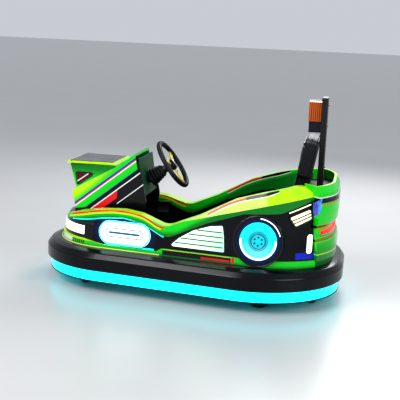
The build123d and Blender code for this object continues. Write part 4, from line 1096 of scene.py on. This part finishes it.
class FinishLamps(bpy.types.Operator):
    """Finish the lamps, with their bezels, rings, slats and light lines, and a warm glowing bead on the
    coaming that is painted reflection, no lamp
    """

    bl_idname = "kart.finish_lamps"
    bl_label = "Lamps"

    def execute(self, context):
        c = colours()
        white, warm = lit("lit_lens_white", c.daylight, 1.25), lit("lit_lens_warm", c.warm, 1.2)
        paint_nodes(
            nose_light_bars=white, stadium_lamps=lit("lit_lens_stadium", c.daylight, 1.2, stadium_light),
            grille_lamps=lit("lit_lens_mint", c.mint, 1.0, grille_light),
            wheel_lamps=lit("lit_lens_cyan", "#0AA8B8", 0.8, disc_light), slat_lamps=warm, marker_lamps=warm,
            tail_lamps=lit("lit_lens_red", c.red, 1.5), number_display=lit("display_glass", "#1A0505", 0.15))
        black = plain_gloss("gloss_abs_lamp_bezel", "#0B0C12", 0.15, 1.0)
        finishes = (black, lit("lit_edge_cyan", c.glow, 1.6),
                    plain_gloss("printed_lens_line", "#1F6E96", 0.25, 0.3), white,
                    plain_gloss("lens_hub_hole", "#03323C", 0.3, 0.4), warm,
                    lit("lit_lens_teal_hub", "#00B8CC", 0.55),
                    plain_gloss("printed_lens_green", "#2F8F5C", 0.3, 0.3))
        for name, side in SIDES:
            face, coaming = wall(side), wall(side, COAMING_PROUD)
            at = wall_frame(*DISC, side=side)

            def backs(bm):
                for outline in (slot_outline(*STADIUM, grow=-0.003), polygon_outline(GRILLE, -0.003),
                                slot_outline(*MARKER, grow=-0.002)):
                    plate(bm, face, outline, *LAMP_BACK)

            def stadium(bm):
                bead(bm, face, slot_outline(*STADIUM, grow=0.0065), 0.008, 0.006, slot=BLACK)
                bead(bm, face, slot_outline(*STADIUM, grow=-0.004), 0.005, 0.0016, LAMP_PROUD, slot=CYAN)
                for grow, width in STADIUM_RINGS:
                    bead(bm, face, slot_outline(*STADIUM, grow=grow), width, 0.0026, LAMP_PROUD, slot=LINE)
                middle = slot_outline(*STADIUM[:2], STADIUM_REACH * 2 + 0.010, 0.012)
                plate(bm, face, middle, LAMP_PROUD + SUNK, LAMP_PROUD + 0.0012, LINE)

            def light_lines(bm):
                low = body_line(660, 90, -15, COAMING_BOTTOM, -0.004)
                bead(bm, face, low, 0.006, 0.0045, closed=False, slot=CYAN)
                foot = [(x / 1000, 0.2510) for x in range(440, 150, -15)]
                bead(bm, face, foot, 0.006, 0.0050, closed=False, slot=CYAN)
                # painted reflection: a warm glowing bead on the coaming's lower edge over the slats stands in
                # for light reflected there; it is no lamp
                over = [(x / 1000, -x / 1000 * 0.41 + 0.2850) for x in range(-560, -672, -8)]
                bead(bm, coaming, over, 0.005, 0.003, closed=False, slot=WARM)

            def grille(bm):
                bead(bm, face, polygon_outline(GRILLE, 0.0045), 0.007, 0.006, slot=BLACK)
                for z in GRILLE_LINES:
                    rear, front = sorted(cuts(GRILLE, z))
                    line = oblong(rear + 0.004, front - 0.006, z - 0.0036, z + 0.0036, 0.003)
                    plate(bm, face, line, 0.001, 0.0055, GREEN)

            def slats(bm):
                bead(bm, coaming, polygon_outline(SLATS, 0.004), 0.006, 0.005, slot=BLACK)
                high_front, high_rear, low_rear, low_front = (Vector(p) for p in SLATS)
                rise = Vector((0, 0.003))
                for share in (0.34, 0.67):
                    front, rear = high_front.lerp(low_front, share), high_rear.lerp(low_rear, share)
                    blade = [tuple(p) for p in (front - rise, front + rise, rear + rise, rear - rise)]
                    plate(bm, coaming, blade, -0.002, 0.0055, BLACK)
                bead(bm, face, slot_outline(*MARKER, grow=0.004), 0.005, 0.005, slot=BLACK)

            def wheel(bm):
                def ring(inner, outer, floor, height, slot):
                    low, high = floor + SUNK, floor + height
                    lathe(bm, at, [(inner, low), (outer, low), (outer, high - 0.0006), (outer - 0.001, high),
                                   (inner + 0.001, high), (inner, high - 0.0006)], 56, slot, True)

                for radius, width in DISC_RINGS:
                    ring(radius - width, radius, DISC_FACE, 0.0009, LINE)
                ring(DISC_HUB_R, DISC_HUB_R + 0.004, DISC_FACE, 0.002, BLACK)
                lathe(bm, at, DISC_HUB, 40, TEAL)
                ring(ARCH_R - 0.006, ARCH_R - 0.001, ARCH_FACE, 0.0015, BLACK)
                for u, v in circle(0.0215, 6, math.radians(30)):
                    lathe(bm, at @ Matrix.Translation((u, v, 0.0115)), HUB_HOLE, 16, HOLE)
                for radius, start, swept, height, width, slot in DISC_ARCS:
                    angles = [math.radians(start + swept * i / 36) for i in range(37)]
                    spots = [(side * radius * math.cos(a), radius * math.sin(a), height) for a in angles]
                    arc = [(at @ Vector(spot), at.to_3x3() @ UP) for spot in spots]
                    sweep(bm, path_frames(arc, False), bead_section(width, 0.0022), slot=slot)

            piece(f"lamp_backs_{name}", backs, black)
            for label, build in (("stadium_trim", stadium), ("light_lines", light_lines),
                                 ("grille_trim", grille), ("slat_trim", slats), ("wheel_lamp_trim", wheel)):
                piece(f"{label}_{name}", build, *finishes)

        def bars(bm):
            low, high = NOSE_BAR_Z
            for u0, u1 in NOSE_BARS:
                outline = dense([(u0, low), (u1, low), (u1, high), (u0, high)], 0.012, 2)
                middle_u, middle_z = (u0 + u1) / 2, (low + high) / 2
                grown = [(u + math.copysign(0.003, u - middle_u), z + math.copysign(0.003, z - middle_z))
                         for u, z in outline]
                bead(bm, nose_wall, grown, 0.006, 0.006, slot=BLACK)

        piece("nose_bar_bezels", bars, *finishes)
        return {"FINISHED"}


# The cushions' cloth: pressure, how far it may swell, how far it starts inside the solid, and its frames
PRESSURE = 8.0
SWELL_CAP = 0.028
START_IN = 0.006
CLOTH_FRAMES = 20


def pad(node, name, away, seams):
    """A padded copy of a soft solid: swelled as cloth under pressure, held where it rests and is sewn."""
    made = bpy.data.objects.new(name, NODES[node].data.copy())
    bm = bmesh.new()
    bm.from_mesh(made.data)
    bmesh.ops.remove_doubles(bm, verts=bm.verts, dist=1e-5)
    bm.to_mesh(made.data)
    bm.free()
    scene = bpy.context.scene
    scene.collection.objects.link(made)
    remesh = made.modifiers.new("Remesh", "REMESH")
    remesh.mode = "VOXEL"
    remesh.voxel_size = sizes().voxel

    def baked():
        mesh = bpy.data.meshes.new_from_object(made.evaluated_get(bpy.context.evaluated_depsgraph_get()))
        made.modifiers.clear()
        return mesh

    made.data = baked()
    out = Vector(away).normalized()
    held = made.vertex_groups.new(name="held")
    for vertex in made.data.vertices:
        at, normal = vertex.co.copy(), vertex.normal.copy()
        rests = normal.dot(out) < -0.5
        sewn = normal.dot(out) > 0.5 and any(abs(seam(at)) < sizes().voxel * 0.6 for seam in seams)
        if rests or sewn:
            held.add([vertex.index], 1.0, "REPLACE")
        vertex.co = at - normal * (0.0 if rests else START_IN)
    start = [v.co.copy() for v in made.data.vertices]
    cloth = made.modifiers.new("Swell", "CLOTH")
    cloth.settings.use_pressure = True
    cloth.settings.uniform_pressure_force = PRESSURE
    cloth.settings.effector_weights.gravity = 0.0
    cloth.settings.vertex_group_mass = "held"
    cloth.settings.quality = 4
    cloth.collision_settings.use_collision = False
    cloth.point_cache.frame_start = 1
    cloth.point_cache.frame_end = CLOTH_FRAMES
    for step in range(1, CLOTH_FRAMES + 1):
        scene.frame_set(step)
    swelled = baked()
    for vertex, at, moved in zip(made.data.vertices, start, swelled.vertices):
        shift = moved.co - at
        vertex.co = at + shift * min(1.0, SWELL_CAP / max(1e-9, shift.length))
    scene.frame_set(1)
    made.modifiers.new("Even", "SMOOTH").iterations = 4
    finer = made.modifiers.new("Finer", "SUBSURF")
    finer.levels = finer.render_levels = 1
    made.data = baked()
    made.data.materials.clear()
    made.data.shade_smooth()
    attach(made, "chassis")
    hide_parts(node)
    return made


def sewn_line(name, base, points, material):
    """Piping that lies on a pad, closed through the points nearest to the given ones."""
    radius, mesh = sizes().piping, base.data
    tree = bvhtree.BVHTree.FromPolygons([v.co for v in mesh.vertices], [p.vertices for p in mesh.polygons])
    spots = [tree.find_nearest(p)[:2] for p in points]
    frames = path_frames([(at + normal * radius * 0.3, normal) for at, normal in spots], True)
    return piece(name, lambda bm: sweep(bm, frames, circle(radius, 8), True), material)


# Seat back: its lean, foot and outline, and its seams; post lamp: the heights of its ribs' ends, its bands as
# height, width and slot; and the post's bolts as station, the way they look, and their places across and up
BACK_LEAN = math.atan2(0.098, 0.56)
BACK_OUT = Vector((math.cos(BACK_LEAN), 0, math.sin(BACK_LEAN)))
BACK_UP = Vector((-math.sin(BACK_LEAN), 0, math.cos(BACK_LEAN)))
BACK_FOOT = Vector((-0.566, 0, 0.300)) + BACK_OUT * 0.060
BACK_OUTLINE = [(-0.182, 0.10), (0.182, 0.10), (0.182, 0.36), (0.237, 0.40), (0.237, 0.555), (-0.237, 0.555),
                (-0.237, 0.40), (-0.182, 0.36)]
BACK_SEAM_UP = 0.385
BACK_SEAM_TOP_Z = 0.66
RIB_Z = (0.960, 1.064)
LAMP_BANDS = ((1.068, 0.006, 0), (0.953, 0.008, 1), (0.905, 0.008, 1))
POST_BOLTS = ((-0.675, 1, (-0.062, 0.062), (0.885, 1.078)), (-0.705, -1, (-0.05, 0.05), (0.70, 0.93, 1.04)))


class FinishSeat(bpy.types.Operator):
    """Pad the seat's cushion and back, and finish their shell and the post"""

    bl_idname = "kart.finish_seat"
    bl_label = "Seat"

    def execute(self, context):
        c = colours()
        vinyl, welt = seat_vinyl(), painted("seat_welt_vinyl", "#1C1D22")
        cushion = pad("seat_cushion", "padded_cushion", UP, [lambda p: p.y])
        back = pad("seat_back", "padded_back", BACK_OUT,
                   [lambda p: p.y if p.z < BACK_SEAM_TOP_Z else 1.0,
                    lambda p: (p - BACK_FOOT).dot(BACK_UP) - BACK_SEAM_UP])
        for made in (cushion, back):
            made.data.materials.append(vinyl)
        low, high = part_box("seat_cushion")
        x0, x1, half = low[0] + 0.010, high[0] - 0.012, high[1] - 0.012
        edge = polygon_outline([(x0, -half), (x1, -half), (x1, half), (x0, half)], radius=0.03)
        sewn_line("cushion_piping", cushion, [Vector((x, y, high[2])) for x, y in dense(edge, 0.012)], welt)
        edge = dense(polygon_outline(BACK_OUTLINE, radius=0.025), 0.012)
        sewn_line("back_piping", back, [BACK_FOOT + Vector((0, u, 0)) + BACK_UP * v for u, v in edge], welt)
        paint_nodes(seat_tub=textured_plastic("textured_abs_tub", "#0C0D10"),
                    seat_post=steel("powder_coated_post", "#07080B", 0.5, 0.0),
                    post_lamp=plain_gloss("gloss_lamp_housing", "#0A0E24", 0.2, 0.8))
        low, high = (Vector(corner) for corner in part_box("post_lamp"))
        middle, half = (low + high) / 2, (high - low) / 2
        pitch, rib_z = sizes().rib_pitch, sum(RIB_Z) / 2

        def steps(size):
            count = int((size - 0.008) / pitch)
            return [(i - count / 2) * pitch for i in range(count + 1)]

        places = [facing((high.x, y, rib_z), (1, 0, 0)) @ QUARTER_TURN for y in steps(half.y * 2)]
        places += [facing((middle.x + x, side * half.y, rib_z), (0, side, 0)) @ QUARTER_TURN
                   for side in (-1, 1) for x in steps(half.x * 2)]
        repeat("post_lamp_ribs", bar_unit(RIB_Z[1] - RIB_Z[0], pitch * 0.72, 0.004), places,
               lit("lit_lens_amber", c.amber, 0.25))

        def bands(bm):
            line = dense(oblong(-half.x, half.x, -half.y, half.y), 0.02)
            for z, width, slot in LAMP_BANDS:
                spots = [(Vector((middle.x + x, y, z)), Vector((x / half.x, y / half.y, 0)).normalized())
                         for x, y in line]
                sweep(bm, path_frames(spots, True), bead_section(width, 0.005), True, slot)

        piece("post_lamp_bands", bands, lit("lit_line_warm", c.warm, 1.4),
              plain_gloss("gloss_lamp_band", "#05060C"))
        bolts = [facing((x, y, z), (way, 0, 0)) for x, way, ys, zs in POST_BOLTS for y in ys for z in zs]
        repeat("post_bolts", hex_head(0.006, 0.004), bolts, steel("zinc_plated_post_bolt", "#8E9298"))
        return {"FINISHED"}


# Steering wheel: ribs of the grip, profile of the horn cap, and radii and first angle of the spokes' screws;
# folds of the column's boot; and the pedal's ribs, by their share of its face
GRIP_RIBS = 60
CAP_PROFILE = [(0, 0.005), (0.029, 0.005), (0.030, 0.010), (0.026, 0.0145), (0.018, 0.016), (0.0165, 0.0145),
               (0.008, 0.0155), (0, 0.016)]
SPOKE_SCREW_RADII = (0.046, 0.108)
FIRST_SPOKE = math.radians(60)
BOOT_FOLDS = 5
PEDAL_RIBS = (0.22, 0.36, 0.50, 0.64, 0.78, 0.92)


class FinishControls(bpy.types.Operator):
    """Finish the steering wheel, its column and the pedal"""

    bl_idname = "kart.finish_controls"
    bl_label = "Controls"

    def execute(self, context):
        paint_nodes(steering_wheel=wheel_finish(),
                    steering_column=steel("painted_steel_column", "#0A0A0C", 0.45, 0.0),
                    pedal=textured_plastic("ribbed_rubber_pedal", "#0C0C0D"))
        at = facing(STEER_AT, STEER_AXIS, (0, 1, 0))
        turn = at.to_3x3()

        def rib(bm):
            foot, top = RIM_R - 0.001, RIM_R + 0.0016
            section = [(foot, -0.0022), (top, -0.0012), (top, 0.0012), (foot, 0.0022)]
            lathe(bm, Matrix(), section, 16, closed=True)

        places = [facing(STEER_AT + turn @ Vector((u, v, 0)) * STEER_R, turn @ Vector((-v, u, 0)), STEER_AXIS)
                  for u, v in circle(1.0, GRIP_RIBS)]
        repeat("grip_ribs", rib, places, textured_plastic("soft_pvc_grip", "#0D0D0F", 1.2, 0.55), "steering")
        piece("steering_cap", lambda bm: lathe(bm, at, CAP_PROFILE, 48),
              plain_gloss("gloss_abs_horn_cap", "#101014"), body="steering")
        spots = [spot for radius in SPOKE_SCREW_RADII for spot in circle(radius, 3, FIRST_SPOKE)]
        repeat("spoke_screws", screw_head(*SCREW), [at @ Matrix.Translation((u, v, 0)) for u, v in spots],
               steel("zinc_plated_spoke_screw", "#9EA2A8", 0.35), "steering", SCREW_SPIN)

        def boot(bm):
            folds = [(0.0225, -0.062), (0.029, -0.062)]
            for i in range(BOOT_FOLDS):
                low = -0.066 - 0.0165 * i
                folds += [(0.030 + 0.004 * i, low), (0.037 + 0.0045 * i, low - 0.008)]
            lathe(bm, at, folds + [(0.056, -0.150), (0.0225, -0.150)], 48, closed=True)

        piece("column_boot", boot, textured_plastic("moulded_rubber_boot", "#0C0C0E", 1.2, 0.6))
        foot, top = (Vector((x, 0, z)) for x, z in PEDAL_FACE)
        out = Vector((foot.z - top.z, 0, foot.x - top.x)).normalized()
        low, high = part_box("pedal")
        middle = Vector((0, (low[1] + high[1]) / 2, 0))
        ribs = [facing(foot.lerp(top, t) + middle, out) for t in PEDAL_RIBS]
        repeat("pedal_ribs", bar_unit(high[1] - low[1] - 0.010, 0.007, 0.0035), ribs,
               textured_plastic("pedal_rib_rubber", "#131314"))
        return {"FINISHED"}


# Bolt circles of the hubs as count, radius and distance out; the caster axles' ends; and the floor's lugs:
# how far their field reaches along and across, and where it starts
REAR_BOLTS = (5, 0.030, 0.020)
DRIVE_BOLTS = (6, 0.045, 0.025)
CASTER_NUT_OUT = 0.021
LUG_FIELD = (0.44, 0.62)
LUG_REAR_X = -0.095


def hub_bolts(middle, side, count, radius, out):
    """Frames of the bolts of a hub, on one side of its wheel."""
    return [facing(middle + Vector((x, side * out, z)), (0, side, 0)) for x, z in circle(radius, count)]


class FinishRunningGear(bpy.types.Operator):
    """Finish the chassis, the drive unit, the wheels and the casters"""

    bl_idname = "kart.finish_running_gear"
    bl_label = "Running gear"

    def execute(self, context):
        tyre, hub = tyre_rubber(), steel("cast_aluminium_hub", "#A9ACB0", 0.42)
        zinc = steel("zinc_plated_caster", "#B9B7A8", 0.35)
        bolt = steel("zinc_plated_wheel_bolt", "#A0A4AA", 0.35)
        chequer = steel("chequer_plate", "#5A5C60", 0.45)
        paint_nodes(chassis_frame=steel("powder_coated_frame", "#101114", 0.5, 0.0), floor_pan=chequer,
                    battery_pack=textured_plastic("battery_case", "#22262E"), drive_tyre=tyre, drive_hub=hub,
                    drive_fork=steel("painted_steel_fork", "#2C2D31", 0.45, 0.0))
        for name, side in SIDES:
            paint_nodes(**{f"rear_tyre_{name}": tyre, f"rear_hub_{name}": hub})
            repeat(f"rear_hub_bolts_{name}", hex_head(0.0042, 0.004),
                   hub_bolts(SPOTS[f"rear_spin_{name}"], side, *REAR_BOLTS), bolt, f"rear_wheel_{name}")
            for end in ("front", "rear"):
                corner = f"{end}_{name}"
                paint_nodes(**{f"caster_fork_{corner}": zinc, f"caster_wheel_{corner}": tyre})
                axle = SPOTS[f"caster_spin_{corner}"]
                nuts = [facing(axle + Vector((0, d * CASTER_NUT_OUT, 0)), (0, d, 0)) for d in (-1, 1)]
                repeat(f"caster_nuts_{corner}", hex_head(0.006, 0.004), nuts, bolt, f"caster_swivel_{corner}")
        bolts = [place for d in (-1, 1) for place in hub_bolts(SPOTS["drive_spin"], d, *DRIVE_BOLTS)]
        repeat("drive_hub_bolts", hex_head(0.005, 0.004), bolts, bolt, "drive_wheel")
        pitch, top = sizes().lug_pitch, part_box("floor_pan")[1][2]
        along, across = (int(size / pitch) for size in LUG_FIELD)
        lugs = []
        for i in range(along):
            for k in range(across):
                spot = (LUG_REAR_X + pitch * i, (k - across / 2 + 0.5) * pitch, top)
                turn = Matrix.Rotation(math.radians(45 if (i + k) % 2 else -45), 4, "Z")
                lugs.append(Matrix.Translation(spot) @ turn)
        repeat("floor_lugs", bar_unit(0.022, 0.006, 0.0016), lugs, chequer)
        return {"FINISHED"}


# Camera, from the photograph: where it stood in the kart's frame, and how it was tilted; and the studio, its
# lights as name, place and power
CAMERA_AT = Vector((-0.882, 5.149, 1.42))
CAMERA_AIM = Vector((-0.02, 0.0, 0.47))
CAMERA_ROLL = math.radians(2.6)
CAMERA_LENS = 84.0
LIGHTS = (("key", (2.2, 3.2, 3.6), 130), ("fill", (-3.4, 2.6, 2.4), 65), ("rim", (-1.0, -3.6, 3.0), 120))
LIGHT_SIZE = 2.4
LIGHT_AIM = Vector((0, 0, 0.4))
FLOOR_SIZE = 160


class BuildStage(bpy.types.Operator):
    """Make the floor, the lights and the camera"""

    bl_idname = "kart.build_stage"
    bl_label = "Stage"

    def execute(self, context):
        scene = context.scene
        bpy.ops.mesh.primitive_plane_add(size=FLOOR_SIZE)
        floor = context.object
        floor.name = "studio_floor"
        f = Finish("studio_floor")
        shades = f.paint("#BEBEBE", (f.grains("noise", 400, 5.0, 0.55), "#C6C6C6"))
        floor.data.materials.append(f.done(shades, 0.32))
        world = bpy.data.worlds.new("studio")
        world.use_nodes = True
        sky = world.node_tree.nodes["Background"].inputs
        sky["Color"].default_value = linear("#D6DAE0")
        sky["Strength"].default_value = 0.75
        scene.world = world
        for name, place, power in LIGHTS:
            light = bpy.data.lights.new(name, "AREA")
            light.size = LIGHT_SIZE
            light.energy = power
            lamp = bpy.data.objects.new(name, light)
            lamp.location = place
            lamp.rotation_euler = (LIGHT_AIM - lamp.location).to_track_quat("-Z", "Y").to_euler()
            scene.collection.objects.link(lamp)
        view = bpy.data.cameras.new("camera")
        view.lens = CAMERA_LENS
        camera = bpy.data.objects.new("camera", view)
        turn = (CAMERA_AIM - CAMERA_AT).to_track_quat("-Z", "Y").to_matrix().to_4x4()
        camera.matrix_world = Matrix.Translation(CAMERA_AT) @ turn @ Matrix.Rotation(CAMERA_ROLL, 4, "Z")
        scene.collection.objects.link(camera)
        scene.camera = camera
        scene.view_settings.view_transform = "Standard"
        scene.view_settings.look = "Medium High Contrast"
        return {"FINISHED"}


STEPS = (FinishBody, DressCowl, FinishBumper, FinishLamps, FinishSeat, FinishControls, FinishRunningGear,
         BuildStage)


class KartPanel(bpy.types.Panel):
    """Lists the kart's steps and settings"""

    bl_idname = "VIEW3D_PT_kart"
    bl_label = "Kart"
    bl_space_type = "VIEW_3D"
    bl_region_type = "UI"
    bl_category = "Kart"

    def draw(self, context):
        for step in STEPS:
            self.layout.operator(step.bl_idname)
        for group in (colours(), sizes()):
            for name in group.__annotations__:
                self.layout.prop(group, name)


CLASSES = (KartColours, KartSizes, *STEPS, KartPanel)


def register():
    for entry in CLASSES:
        bpy.utils.register_class(entry)
    bpy.types.Scene.kart_colours = bpy.props.PointerProperty(type=KartColours)
    bpy.types.Scene.kart_sizes = bpy.props.PointerProperty(type=KartSizes)


def unregister():
    del bpy.types.Scene.kart_sizes
    del bpy.types.Scene.kart_colours
    for entry in reversed(CLASSES):
        bpy.utils.unregister_class(entry)


def main():
    register()
    for step in STEPS:
        area, action = step.bl_idname.split(".")
        getattr(getattr(bpy.ops, area), action)()


if __name__ == "__main__":
    main()
